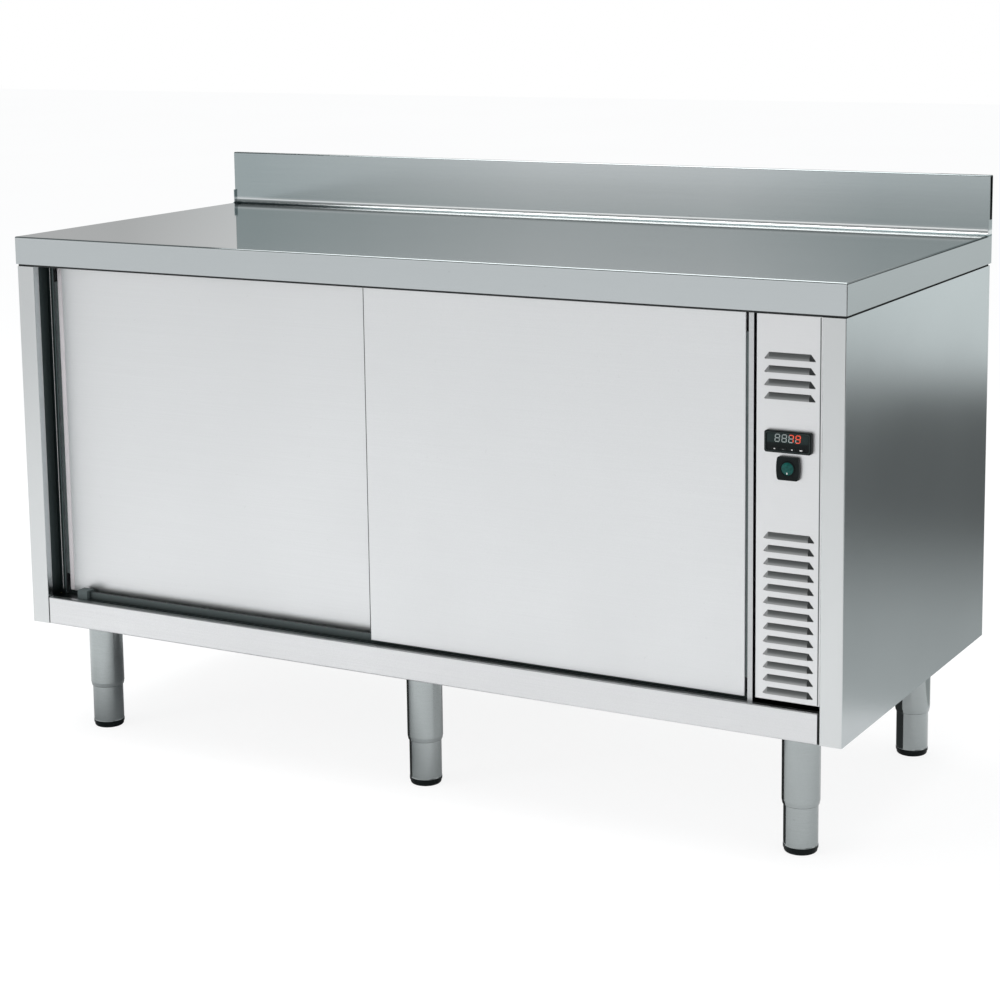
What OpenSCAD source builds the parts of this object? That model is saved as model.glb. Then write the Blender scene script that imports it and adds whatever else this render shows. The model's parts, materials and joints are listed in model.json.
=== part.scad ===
// Free-standing hot cupboard with two sliding doors, a control panel and six levelling legs.
// Millimetres, +Z up, front towards -Y, origin on the floor under the middle of the worktop.

/* [Overall] */
// Width of the worktop
width = 1600; // [1300:10:2000]
// Depth of the worktop from its front face to its back
depth = 700; // [620:10:800]
// Height of the worktop surface above the floor
work_height = 930; // [900:5:1000]
// Height of the cabinet's underside above the floor
body_rise = 210; // [190:1:230]
// Running clearance between pieces that move or slip together
fit = 0.3; // [0.2:0.05:0.5]

/* [Worktop] */
// Height of the folded apron round the worktop
apron_h = 50; // [48:1:60]
// Thickness of the worktop sheet
top_sheet = 1.5; // [1:0.1:2]
// Outer radius of the worktop's folds
fold_r = 3; // [2.5:0.1:5]
// Width of the lip folded in under the apron
apron_lip = 12; // [6:1:14]
// Height of the upstand above the worktop surface
upstand_h = 104; // [60:1:160]
// Depth of the folded upstand
upstand_t = 15; // [10:1:20]
// Radius of the cove between the worktop and the upstand
cove_r = 10; // [6:1:14]
// Length of the gusset plate that closes each end of the cove
gusset_l = 20; // [18:1:40]
// Height of that gusset above the worktop surface
gusset_h = 27; // [18:1:40]
// Thickness of the board bonded under the worktop
core_t = 20; // [16:1:21]

/* [Cabinet] */
// Setback of the cabinet's faces from the worktop's edges
setback = 2; // [2:0.5:4]
// Shadow gap between the apron and the cabinet's panels
shadow_gap = 4; // [2:0.5:6]
// Thickness of the cabinet sheet
sheet = 1; // [0.8:0.1:1.5]
// Outer radius of the cabinet's folds
bend_r = 2.5; // [2:0.1:4]
// Width of each front post
post_w = 37.5; // [30:0.5:45]
// Depth of the return on the inner edge of each post
post_return = 14; // [8:1:15]
// Width of the jamb strip beside the left door
jamb_w = 11; // [8:0.5:14]
// Height of the bottom rail's face
rail_h = 50.5; // [46:0.5:60]
// Depth of the bottom rail's lower flange
rail_flange = 40; // [30:1:42]
// Gap between each end of the bottom rail and its post
rail_gap = 3; // [0.5:0.5:4]
// Width of the flanges that join the cabinet's panels
flange_w = 25; // [15:1:28]
// Thickness of the insulation behind the rear liner
rear_insulation = 28; // [26:1:45]
// Side of the square tubes of the top frame
frame_w = 30; // [24:1:34]
// Wall of the top frame's tubes
frame_wall = 2; // [1.5:0.1:3]
// Distance from the cabinet's side faces to the top frame
frame_inset = 18; // [16:1:24]
// Diameter of the heads of the rear panel's screws
screw_head_d = 9; // [6:0.5:12]
// Distance of those screws from the rear panel's edges
screw_inset = 12; // [9:1:14]
// Number of screws along the rear panel's top and bottom edge
screw_count = 7; // [3:1:12]

/* [Doors] */
// Thickness of each door
door_t = 22; // [20:1:24]
// Depth of the front door's face behind the posts' faces
door_recess = 16; // [16:0.5:20]
// Gap between the front door and the rear door
door_gap = 6; // [5:0.5:10]
// Overlap of the two closed doors
door_overlap = 14; // [8:1:40]
// Height of the doors' lower edge above the bottom rail
door_lift = 5.5; // [4:0.5:7]
// Gap between the doors' upper edge and the top of the cabinet
door_headroom = 2; // [1:0.5:4]
// Thickness of the rubber door stops on the jambs
bumper_t = 6; // [4:0.5:10]
// Width of the slot in the doors' lower edge
slot_w = 10; // [9:0.5:12]
// Depth of that slot
slot_h = 10; // [9:0.5:14]

/* [Tracks] */
// Diameter of the door rollers
roller_d = 18; // [15:0.5:18.5]
// Width of the door rollers
roller_w = 7; // [5:0.5:8]
// Diameter of the rollers' axles
axle_d = 6; // [4:0.5:8]
// Running clearance of a roller on its axle
axle_fit = 0.1; // [0.05:0.05:0.2]
// Thickness of the hanger plates
hanger_t = 3; // [2:0.5:4]
// Width of the hanger plates
hanger_w = 40; // [24:1:60]
// Distance of each hanger's middle from its door's edge
hanger_inset = 60; // [40:1:120]
// Sheet of the upper track
track_t = 1.5; // [1:0.1:2]
// Width of the lower track's strip
strip_w = 20; // [16:1:22]
// Thickness of the lower track's strip
strip_t = 1.5; // [1:0.1:2.5]
// Width of the guide rib on that strip
rib_w = 5; // [3:0.5:6]
// Reach of the guide rib into the door's slot
rib_reach = 7; // [4:0.5:7]
// Distance of the end stops from the jambs
stop_inset = 67.5; // [50:0.5:90]
// Length of the end stops
stop_l = 22; // [15:1:30]

/* [Control panel] */
// Width of the control panel
panel_w = 110; // [106:1:140]
// Depth of the control panel's face behind the posts' faces
panel_recess = 8; // [7:0.5:10]
// Depth of the returns on the control panel
panel_return = 16; // [10:1:25]
// Gap between the partition's jamb and the control panel
panel_gap = 5.6; // [3:0.2:10]
// Width of the partition's jamb
partition_jamb = 8.4; // [6:0.2:14]
// Gap between the control panel and the bottom rail
panel_lift = 9; // [5:0.5:14]
// Straight length of each louvre
louvre_l = 68; // [50:1:78]
// Height of each louvre
louvre_h = 10; // [8:0.5:12]
// Reach of each louvre in front of the panel
louvre_reach = 5.5; // [4:0.5:6]
// Angle between the chord of a louvre's bowed section and its tangents
louvre_bow = 14; // [8:1:25]
// How far each end of a louvre runs out sideways from its top to its foot
louvre_run = 8; // [4:0.5:10]
// Distance from one louvre to the next
louvre_pitch = 20.6; // [16:0.1:22]
// Number of louvres in the upper group
upper_louvres = 4; // [2:1:4]
// Height of the plain field between the switch and the lower group
plain_h = 80; // [60:1:120]
// Height of the upper group's highest louvre below the top of the cabinet
upper_drop = 59; // [40:1:70]
// Height of the lower group's lowest louvre above the bottom rail
lower_rise = 19; // [17:1:40]

/* [Controller and switch] */
// Width of the controller's bezel
bezel_w = 76.5; // [70:0.5:90]
// Height of the controller's bezel
bezel_h = 34; // [32:0.5:38]
// Reach of the bezel and of the switch in front of the panel
bezel_reach = 7; // [6:0.5:7]
// Distance of the controller's middle below the top of the cabinet
controller_drop = 195.5; // [180:0.5:215]
// Depth of the controller's case behind the panel
case_depth = 58; // [40:1:90]
// Height of the display window
window_h = 15; // [10:0.5:16]
// Thickness of the display window
window_t = 1.5; // [1:0.1:2]
// Width of each controller key
key_w = 11; // [8:0.5:12]
// Height of each controller key
key_h = 5; // [4:0.5:6]
// Distance from one key to the next
key_pitch = 14.5; // [13:0.5:16]
// Travel of each controller key
key_travel = 0.8; // [0.5:0.1:1]
// Distance between the middles of the controller and the switch
switch_drop = 41; // [39:0.5:50]
// Width of the switch housing
switch_w = 35; // [30:0.5:40]
// Height of the switch housing
switch_h = 36.5; // [32:0.5:40]
// Diameter of the lit button
button_d = 20; // [16:0.5:24]
// Reach of the button in front of its housing
button_reach = 2.8; // [2.5:0.1:2.9]
// Travel of the button
button_travel = 2.2; // [1.5:0.1:2.4]

/* [Inside] */
// Height of the shelf above the floor panel
shelf_rise = 316; // [300:1:420]
// Height of the shelf's front and rear lips
shelf_lip = 25; // [15:1:40]
// Leg of the angle rails that carry the shelf
support_leg = 22; // [15:1:40]
// Thickness of those rails
support_t = 2; // [1.5:0.1:3]
// Height of the fan's axis above the floor panel
fan_rise = 150; // [140:1:160]
// Distance of the fan's axis behind the middle of the cabinet
fan_y = 60; // [0:1:120]
// Side of the square fan cover
cover_side = 240; // [220:1:260]
// Depth of the fan cover
cover_depth = 44; // [40:1:60]
// Diameter of the fan wheel
wheel_d = 130; // [100:1:150]
// Width of the fan wheel
wheel_w = 26; // [20:1:28]
// Diameter of the fan's shaft
shaft_d = 8; // [6:0.5:10]
// Number of blades on the fan wheel
blade_count = 20; // [8:1:24]
// Diameter of the fan motor
motor_d = 72; // [60:1:90]
// Length of the fan motor
motor_l = 50; // [40:1:70]
// Diameter of the heating element's rings
heater_d = 176; // [170:1:190]
// Diameter of the heating element's tube
heater_tube = 8.5; // [6:0.5:10]
// Diameter of the cable gland's bore
gland_bore = 10; // [6:0.5:12]

/* [Legs] */
// Diameter of the upper leg tube
leg_d = 62; // [58:0.5:70]
// Wall of the upper leg tube
leg_wall = 2; // [1.5:0.1:3]
// Diameter of the adjustable foot
foot_d = 56; // [46:0.5:56]
// Height of the upper tube's lower end above the floor
step_z = 80; // [65:1:95]
// Height of the taper at that end
taper_h = 7; // [4:0.5:12]
// Height of the black foot cap
cap_h = 8; // [6:0.5:12]
// Distance of the outer legs from the worktop's ends
leg_inset = 102; // [90:1:140]
// Distance of the front legs from the worktop's front
leg_front = 88; // [86:1:120]
// Distance of the rear legs from the worktop's back
leg_rear = 82; // [80:1:120]
// Side of the square mounting plates
plate_side = 84; // [70:1:88]
// Thickness of the mounting plates
plate_t = 4; // [3:0.5:6]
// Diameter of the levelling studs
stud_d = 16; // [12:0.5:20]
// How far a foot can be screwed in
foot_up = 35; // [20:1:40]
// How far a foot can be screwed out
foot_down = 25; // [10:1:28]

/* [Hidden] */
$fn = 64;

steel = [0.80, 0.81, 0.82];
dull_steel = [0.66, 0.68, 0.69];
black_plastic = [0.06, 0.06, 0.07];
nylon = [0.90, 0.90, 0.86];

// How far a cutting shape runs past the face that it cuts
eps = 1;

// Planes of the worktop
front = -depth / 2;
back = depth / 2;
half_w = width / 2;
apron_z = work_height - apron_h;
upstand_top = work_height + upstand_h;
upstand_y = back - upstand_t;
core_z = work_height - top_sheet - core_t;

// Distance from a door's face to the jamb beside it, and from its back to the lining
reveal = 4;

// Planes of the cabinet
face_y = front + setback;
side_x = half_w - setback;
rear_y = back - setback;
body_top = apron_z - shadow_gap;
rail_top = body_rise + rail_h;
floor_z = rail_top - sheet;
post_x = side_x - post_w;
liner_x = jamb_w - post_x;
rear_liner_y = rear_y - 2 * sheet - rear_insulation;

// Control panel and partition
panel_y = face_y + panel_recess;
panel_x1 = post_x;
panel_x0 = panel_x1 - panel_w;
panel_mid = (panel_x0 + panel_x1) / 2;
panel_z0 = rail_top + panel_lift;
panel_z1 = body_top - sheet;
partition_x = panel_x0 - panel_gap - partition_jamb;
partition_jamb_y = face_y + door_recess - reveal;
bezel_y = panel_y - bezel_reach;
controller_z = body_top - controller_drop;
switch_z = controller_z - switch_drop;
cutout_gap = 0.5;
louvre_t = sheet * 0.7;
lower_room = switch_z - switch_h / 2 - plain_h - rail_top - lower_rise - louvre_h;
lower_louvres = floor(lower_room / louvre_pitch) + 1;
bezel_lap = 3;
bezel_margin = 3.5;
bezel_corner = 4;
case_w = bezel_w - 2 * bezel_lap;
case_h = bezel_h - 2 * bezel_lap;
window_w = bezel_w - 9;
window_z = controller_z + bezel_h / 2 - window_h / 2 - bezel_margin;
key_z = controller_z - bezel_h / 2 + key_h / 2 + bezel_margin;
key_depth = 4;
switch_body = button_d + 8;
switch_body_depth = 32;
button_depth = 11;

// Doors
door_back = door_t - sheet;
front_door_y = face_y + door_recess;
rear_door_y = front_door_y + door_t + door_gap;
jamb_y = rear_door_y - reveal;
inside_y = rear_door_y + door_t + reveal;
left_door_x = liner_x + bumper_t + fit;
right_door_end = partition_x - bumper_t - fit;
door_w = (right_door_end - left_door_x + door_overlap) / 2;
right_door_x = right_door_end - door_w;
door_z0 = rail_top + door_lift;
door_z1 = body_top - door_headroom;

// Tracks and rollers
front_mid = front_door_y + door_t / 2;
rear_mid = rear_door_y + door_t / 2;
track_lift = 1;
track_z = apron_z + track_lift;
axle_z = track_z + track_t + fit + roller_d / 2;
roller_gap = 0.5;
roller_front = -hanger_t / 2 - roller_gap - roller_w;
wall_gap = 2;
track_wall = roller_front - wall_gap - track_t;
lip_w = track_t + wall_gap + roller_w;
axle_head_t = 1.2;
axle_head_d = axle_d + 4;
front_stop_x = liner_x + stop_inset;
rear_stop_x = partition_x - stop_inset;

// Fan and heater
fan_z = floor_z + fan_rise;
wheel_gap = 9;
motor_plate = motor_d + 26;
motor_plate_t = 3;
shaft_hole = shaft_d + 16;
heater_hole = heater_tube - 1;
heater_rings = [14, 28];
heater_spread = 24;
terminal_d = heater_tube - 2;
terminal_l = 34;
gland_x = panel_mid - 5;
gland_y = 120;
gland_thread = gland_bore + 6;
gland_nut = gland_bore + 15;
gland_dome_h = 9;
gland_nut_h = 7;
gland_tail = 10;

// Shelf
shelf_z = floor_z + shelf_rise;
shelf_y0 = inside_y + reveal;
shelf_y1 = rear_liner_y - reveal;

// Legs
leg_x = half_w - leg_inset;
leg_y0 = front + leg_front;
leg_y1 = back - leg_rear;
leg_spots = [[-leg_x, leg_y0], [0, leg_y0], [leg_x, leg_y0], [-leg_x, leg_y1], [0, leg_y1],
             [leg_x, leg_y1]];
collar_h = 16;
foot_wall = 3;
plug_h = 12;
foot_grip = 11;
foot_top = step_z + foot_down + foot_grip;
stud_z = step_z - 10;
cap_inset = 1;
foot_floor = 3;
stud_hole = stud_d + 2 * fit;

// Box between two corners, given as its ranges in X, Y and Z
module slab(x, y, z) {
    translate([x[0], y[0], z[0]])
        cube([x[1] - x[0], y[1] - y[0], z[1] - z[0]]);
}

// Flat rectangle given by its two ranges
module plate2(u, v) {
    translate([u[0], v[0]])
        square([u[1] - u[0], v[1] - v[0]]);
}

// The same rectangle with round corners
module round_plate2(u, v, r) {
    plate2([u[0] + r, u[1] - r], v);
    plate2(u, [v[0] + r, v[1] - r]);
    for (a = [u[0] + r, u[1] - r], b = [v[0] + r, v[1] - r])
        translate([a, b])
            circle(r);
}

// Extrude an outline drawn in (Y, Z) along X
module along_x(x) {
    translate([x[0], 0, 0])
        rotate([90, 0, 90])
            linear_extrude(x[1] - x[0])
                children();
}

// Extrude an outline drawn in (X, Z) along Y
module along_y(y) {
    translate([0, y[1], 0])
        rotate([90, 0, 0])
            linear_extrude(y[1] - y[0])
                children();
}

// Extrude an outline drawn in (X, Y) along Z
module along_z(z) {
    translate([0, 0, z[0]])
        linear_extrude(z[1] - z[0])
            children();
}

// Round bar between two places on an axis
module bar_x(x, y, z, d) {
    translate([x[0], y, z])
        rotate([0, 90, 0])
            cylinder(h = x[1] - x[0], d = d);
}

module bar_y(x, y, z, d) {
    translate([x, y[1], z])
        rotate([90, 0, 0])
            cylinder(h = y[1] - y[0], d = d);
}

module bar_z(x, y, z, d) {
    translate([x, y, z[0]])
        cylinder(h = z[1] - z[0], d = d);
}

// Box with its front and side edges rounded on top, as a folded tray has
module tray_block(x, y, z, r) {
    intersection() {
        along_x(x)
            round_plate2([y[0], y[1] + 2 * r], [z[0] - 2 * r, z[1]], r);
        along_y(y)
            round_plate2(x, [z[0] - 2 * r, z[1]], r);
        along_z(z)
            round_plate2(x, [y[0], y[1] + 2 * r], r);
    }
}

// Section of the upstand: front sheet, top fold, back sheet and cove
module upstand_section() {
    inner_r = fold_r - top_sheet;
    difference() {
        round_plate2([upstand_y, back], [apron_z - 2 * fold_r, upstand_top], fold_r);
        round_plate2([upstand_y + top_sheet, back - top_sheet],
                     [apron_z - 4 * fold_r, upstand_top - top_sheet],
                     inner_r);
        plate2([upstand_y - eps, back - top_sheet], [apron_z - 4 * fold_r, work_height + cove_r]);
        plate2([upstand_y - eps, back + eps], [apron_z - 4 * fold_r, apron_z]);
    }
    intersection() {
        translate([upstand_y - cove_r, work_height + cove_r])
            difference() {
                circle(cove_r + top_sheet);
                circle(cove_r);
            }
        plate2([upstand_y - cove_r, upstand_y + top_sheet],
               [work_height - top_sheet, work_height + cove_r]);
    }
}

// Worktop: folded tray with apron and lips, coved upstand, gusset at each end of the cove
module worktop() {
    t = top_sheet;
    color(steel) {
        difference() {
            tray_block([-half_w, half_w], [front, back], [apron_z, work_height], fold_r);
            tray_block([t - half_w, half_w - t], [front + t, back + eps], [apron_z + t, work_height - t],
                       fold_r - t);
            slab([apron_lip - half_w, half_w - apron_lip], [front + apron_lip, back + eps],
                 [apron_z - eps, apron_z + 2 * t]);
            slab([t - half_w, half_w - t], [upstand_y - cove_r, back + eps],
                 [apron_z + t, work_height + eps]);
        }
        along_x([-half_w, half_w])
            upstand_section();
        for (s = [-1, 1])
            slab([min(s * half_w, s * (half_w - t)), max(s * half_w, s * (half_w - t))],
                 [back - gusset_l, back],
                 [apron_z, work_height + gusset_h]);
    }
}

// Board bonded to the underside of the worktop
module worktop_core() {
    side = half_w - top_sheet - fold_r;
    color([0.60, 0.45, 0.28])
        slab([-side, side], [front + top_sheet + fold_r, back - top_sheet - fit],
             [core_z, work_height - top_sheet]);
}

// Square tube between two corners, open along the axis that it runs on
module tube_x(x, y, z, wall) {
    difference() {
        slab(x, y, z);
        slab([x[0] - eps, x[1] + eps], [y[0] + wall, y[1] - wall], [z[0] + wall, z[1] - wall]);
    }
}

module tube_y(x, y, z, wall) {
    difference() {
        slab(x, y, z);
        slab([x[0] + wall, x[1] - wall], [y[0] - eps, y[1] + eps], [z[0] + wall, z[1] - wall]);
    }
}

// Top frame of welded tubes between the cabinet and the worktop
module top_frame() {
    outer = side_x - frame_inset;
    rear = rear_y - frame_inset;
    z = [body_top, core_z];
    color(dull_steel) {
        for (s = [-1, 1])
            tube_y([min(s * outer, s * (outer - frame_w)), max(s * outer, s * (outer - frame_w))],
                   [inside_y, rear], z, frame_wall);
        for (y = [inside_y, rear - frame_w])
            tube_x([frame_w - outer, outer - frame_w], [y, y + frame_w], z, frame_wall);
    }
}

// Side panel folded round the front as a post, drawn for the right-hand side
module side_panel() {
    wall_end = rear_y - sheet;
    z = [body_rise, body_top];
    along_z(z)
        difference() {
            round_plate2([post_x, side_x], [face_y, wall_end + 2 * bend_r], bend_r);
            round_plate2([post_x + sheet, side_x - sheet], [face_y + sheet, wall_end + 4 * bend_r],
                         bend_r - sheet);
            plate2([post_x - eps, side_x - sheet], [face_y + post_return, wall_end + 4 * bend_r]);
            plate2([post_x - eps, side_x + eps], [wall_end, wall_end + 4 * bend_r]);
        }
    slab([side_x - flange_w, side_x - sheet], [wall_end - sheet, wall_end], z);
    slab([post_x + sheet, side_x - sheet], [face_y + sheet, wall_end - sheet],
         [body_top - sheet, body_top]);
    slab([side_x - flange_w, side_x - sheet], [face_y + sheet, wall_end - sheet],
         [body_rise, body_rise + sheet]);
}

module right_side_panel() {
    color(steel)
        side_panel();
}

module left_side_panel() {
    color(steel)
        mirror([1, 0, 0])
            side_panel();
}

// Rear panel with flanges along its top and bottom
module rear_panel() {
    flange_x = post_x;
    color(steel) {
        slab([-side_x, side_x], [rear_y - sheet, rear_y], [body_rise, body_top]);
        slab([-flange_x, flange_x], [rear_y - flange_w, rear_y - sheet], [body_top - sheet, body_top]);
        slab([-flange_x, flange_x], [rear_y - flange_w, rear_y - sheet], [body_rise, body_rise + sheet]);
    }
}

// Low-headed screws round the rear panel
module rear_panel_screws() {
    span = 2 * (side_x - screw_inset);
    color(dull_steel)
        for (i = [0 : screw_count - 1], z = [body_rise + screw_inset, body_top - screw_inset])
            translate([-span / 2 + span * i / (screw_count - 1), rear_y, z])
                rotate([-90, 0, 0])
                    difference() {
                        cylinder(h = setback, d1 = screw_head_d, d2 = screw_head_d * 0.7);
                        translate([-screw_head_d / 2, -0.5, setback * 0.6])
                            cube([screw_head_d, 1, setback]);
                    }
}

// Base pan under the cabinet, holed for the leg studs and the cable gland
module base_pan() {
    edge = side_x - flange_w;
    color(steel)
        difference() {
            slab([-edge, edge], [face_y + rail_flange, rear_y - flange_w],
                 [body_rise, body_rise + sheet]);
            for (p = leg_spots)
                bar_z(p[0], p[1], [body_rise - eps, body_rise + sheet + eps], stud_hole);
            bar_z(gland_x, gland_y, [body_rise - eps, body_rise + sheet + eps], gland_thread + 2 * fit);
        }
}

// Bottom rail: folded channel between the posts
module bottom_rail() {
    top_return = partition_jamb_y - face_y - fit;
    color(steel)
        along_x([rail_gap - post_x, post_x - rail_gap])
            difference() {
                round_plate2([face_y, face_y + rail_flange + 2 * bend_r], [body_rise, rail_top], bend_r);
                round_plate2([face_y + sheet, face_y + rail_flange + 4 * bend_r],
                             [body_rise + sheet, rail_top - sheet], bend_r - sheet);
                plate2([face_y + top_return, face_y + rail_flange + 4 * bend_r],
                       [body_rise + sheet, rail_top + eps]);
                plate2([face_y + rail_flange, face_y + rail_flange + 4 * bend_r],
                       [body_rise - eps, rail_top]);
            }
}

// Floor panel of the heated compartment and the control compartment
module floor_panel() {
    z = [floor_z - sheet, floor_z];
    behind_rail = face_y + bend_r + fit;
    color(steel)
        difference() {
            union() {
                slab([liner_x - sheet, partition_x], [behind_rail, rear_liner_y + sheet], z);
                slab([-post_x + fit, liner_x], [behind_rail, jamb_y + sheet], z);
                slab([partition_x, post_x - fit], [behind_rail, rear_y - flange_w], z);
            }
            bar_z(gland_x, gland_y, [floor_z - sheet - eps, floor_z + eps], gland_bore + 8);
        }
}

// Left liner: jamb behind the post, strip beside the door, inner wall of the compartment
module left_liner() {
    jamb_x = -post_x;
    z = [floor_z, body_top];
    color(steel) {
        along_z(z) {
            plate2([jamb_x - sheet, jamb_x], [face_y + post_return + fit, jamb_y + sheet]);
            difference() {
                round_plate2([jamb_x - 4 * bend_r, liner_x], [jamb_y, rear_liner_y + 4 * bend_r], bend_r);
                round_plate2([jamb_x - 8 * bend_r, liner_x - sheet],
                             [jamb_y + sheet, rear_liner_y + 8 * bend_r],
                             bend_r - sheet);
                plate2([jamb_x - 9 * bend_r, jamb_x - sheet], [jamb_y - eps, rear_liner_y + 9 * bend_r]);
                plate2([jamb_x - 9 * bend_r, liner_x + eps],
                       [rear_liner_y + sheet, rear_liner_y + 9 * bend_r]);
            }
        }
        slab([jamb_x, liner_x - sheet], [jamb_y + sheet, rear_liner_y], [body_top - sheet, body_top]);
    }
}

// Rear wall of the heated compartment
module rear_liner() {
    color(steel)
        slab([liner_x, partition_x], [rear_liner_y, rear_liner_y + sheet], [floor_z, body_top - sheet]);
}

// Ceiling of the heated compartment
module ceiling_liner() {
    color(steel)
        slab([liner_x, partition_x], [inside_y, rear_y - flange_w], [body_top - sheet, body_top]);
}

// Partition between the heated compartment and the control compartment
module partition() {
    z = [floor_z, body_top - sheet];
    rear = rear_y - sheet;
    color(steel)
        difference() {
            union() {
                slab([partition_x, partition_x + sheet], [partition_jamb_y, rear], z);
                slab([partition_x, partition_x + partition_jamb],
                     [partition_jamb_y, partition_jamb_y + sheet],
                     [floor_z, body_top]);
                slab([partition_x, partition_x + flange_w], [inside_y, rear_y - flange_w],
                     [body_top - sheet, body_top]);
                slab([partition_x, partition_x + flange_w], [rear - sheet, rear], z);
            }
            bar_x([partition_x - eps, partition_x + sheet + eps], fan_y, fan_z, shaft_hole);
            for (s = [-1, 1])
                bar_x([partition_x - eps, partition_x + sheet + eps], fan_y + s * heater_spread,
                      fan_z - heater_drop(),
                      heater_hole);
        }
}

// Slabs of mineral wool in the left wall, the rear wall, the floor and the ceiling
module insulation_slabs() {
    outer = side_x - frame_inset - frame_w;
    color([0.78, 0.72, 0.50]) {
        slab([sheet - side_x, liner_x - sheet], [jamb_y + bend_r + fit, rear_liner_y],
             [body_rise + sheet, body_top - sheet]);
        slab([liner_x, partition_x], [rear_liner_y + sheet, rear_y - sheet],
             [body_rise + sheet, body_top - sheet]);
        slab([liner_x, partition_x], [face_y + rail_flange, rear_liner_y + sheet],
             [body_rise + sheet + plate_t, floor_z - sheet]);
        slab([-outer, partition_x], [inside_y + frame_w, rear_y - frame_inset - frame_w],
             [body_top, core_z]);
    }
}

// One channel of the upper track: wall, lip under the rollers and top web
module track_channel2(mid) {
    plate2([mid + track_wall, mid + track_wall + track_t], [track_z, core_z]);
    plate2([mid + track_wall, mid + track_wall + lip_w], [track_z, track_z + track_t]);
}

// Upper track with a channel for each door
module upper_track() {
    x = [liner_x, partition_x];
    tail = rear_mid + hanger_t / 2 + reveal;
    color([0.75, 0.76, 0.77])
        along_x(x) {
            track_channel2(front_mid);
            track_channel2(rear_mid);
            plate2([front_mid + track_wall, tail + track_t], [core_z - track_t, core_z]);
            plate2([tail, tail + track_t], [track_z + reveal, core_z]);
        }
}

// Lower tracks: flat strip with a guide rib for each door
module lower_tracks() {
    spans = [[front_stop_x, partition_x], [liner_x, rear_stop_x]];
    mids = [front_mid, rear_mid];
    color([0.70, 0.72, 0.73])
        for (i = [0, 1])
            along_x(spans[i]) {
                plate2([mids[i] - strip_w / 2, mids[i] + strip_w / 2], [floor_z, floor_z + strip_t]);
                plate2([mids[i] - rib_w / 2, mids[i] + rib_w / 2], [floor_z, door_z0 + rib_reach]);
            }
}

// Rubber door stops on the jambs and end stops of the lower tracks
module door_stops() {
    inset = 30;
    margin = 2;
    z = [door_z0 + inset, door_z1 - inset];
    block_z = [floor_z, door_z0 + slot_h];
    color([0.10, 0.10, 0.11]) {
        slab([liner_x, liner_x + bumper_t], [rear_door_y + margin, rear_door_y + door_t - margin], z);
        slab([partition_x - bumper_t, partition_x],
             [front_door_y + margin, front_door_y + door_t - margin], z);
        slab([front_stop_x - stop_l, front_stop_x], [front_mid - strip_w / 2, front_mid + strip_w / 2],
             block_z);
        slab([rear_stop_x, rear_stop_x + stop_l], [rear_mid - strip_w / 2, rear_mid + strip_w / 2],
             block_z);
    }
}

// Shelf: flat tray with front and rear lips
module shelf() {
    x = [liner_x + fit, partition_x - fit];
    lip_z = [shelf_z - shelf_lip, shelf_z];
    color(steel) {
        slab(x, [shelf_y0, shelf_y1], [shelf_z - sheet, shelf_z]);
        slab(x, [shelf_y0, shelf_y0 + sheet], lip_z);
        slab(x, [shelf_y1 - sheet, shelf_y1], lip_z);
    }
}

// Angle rails that carry the shelf's ends
module shelf_supports() {
    y = [shelf_y0 + 3 * sheet, shelf_y1 - 3 * sheet];
    top = shelf_z - sheet;
    color(dull_steel) {
        slab([liner_x, liner_x + support_leg], y, [top - support_t, top]);
        slab([liner_x, liner_x + support_t], y, [top - support_leg, top]);
        slab([partition_x - support_leg, partition_x], y, [top - support_t, top]);
        slab([partition_x - support_t, partition_x], y, [top - support_leg, top]);
    }
}

// Upper edge of each louvre, from the top of the panel down
function louvre_tops() = concat(
    [for (i = [0 : upper_louvres - 1]) body_top - upper_drop - i * louvre_pitch],
    [for (i = [0 : lower_louvres - 1]) rail_top + lower_rise + louvre_h + i * louvre_pitch]);

// Chord of a louvre's arc, which runs from the panel's face down to the lip
function louvre_chord() = norm([louvre_reach, louvre_h]);

// Radius of that arc
function louvre_arc() = louvre_chord() / (2 * sin(louvre_bow));

// Middle of that arc, behind the panel and below the lip
function louvre_centre() = [
    louvre_arc() * cos(louvre_bow) * louvre_h / louvre_chord() - louvre_reach / 2,
    louvre_h / 2 - louvre_arc() * cos(louvre_bow) * louvre_reach / louvre_chord()];

// Outward direction of a louvre's right end facet, which falls from the lip's corner back to the panel
function facet_out() = [louvre_h * louvre_reach, -louvre_h * louvre_run, louvre_reach * louvre_run];

// Room behind that facet, less a skin thickness
module behind_facet(skin) {
    out = facet_out() / norm(facet_out());
    room = 3 * louvre_l;
    translate([louvre_l / 2, 0, louvre_h])
        rotate([0, -asin(out[2]), atan2(out[1], out[0])])
            translate([-room - skin, -room / 2, -room / 2])
                cube(room);
}

// Solid under a louvre's skin, or its hollow when a skin thickness is taken off, with its lip at the bottom
module louvre(skin) {
    foot = skin > 0 ? eps : 0;
    inside = skin > 0 ? sheet + eps : sheet / 2;
    intersection() {
        along_x([-louvre_l, louvre_l])
            intersection() {
                translate(louvre_centre())
                    circle(louvre_arc() - skin);
                plate2([-2 * louvre_reach, inside], [-foot, louvre_h - skin]);
            }
        behind_facet(skin);
        mirror([1, 0, 0])
            behind_facet(skin);
    }
}

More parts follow.
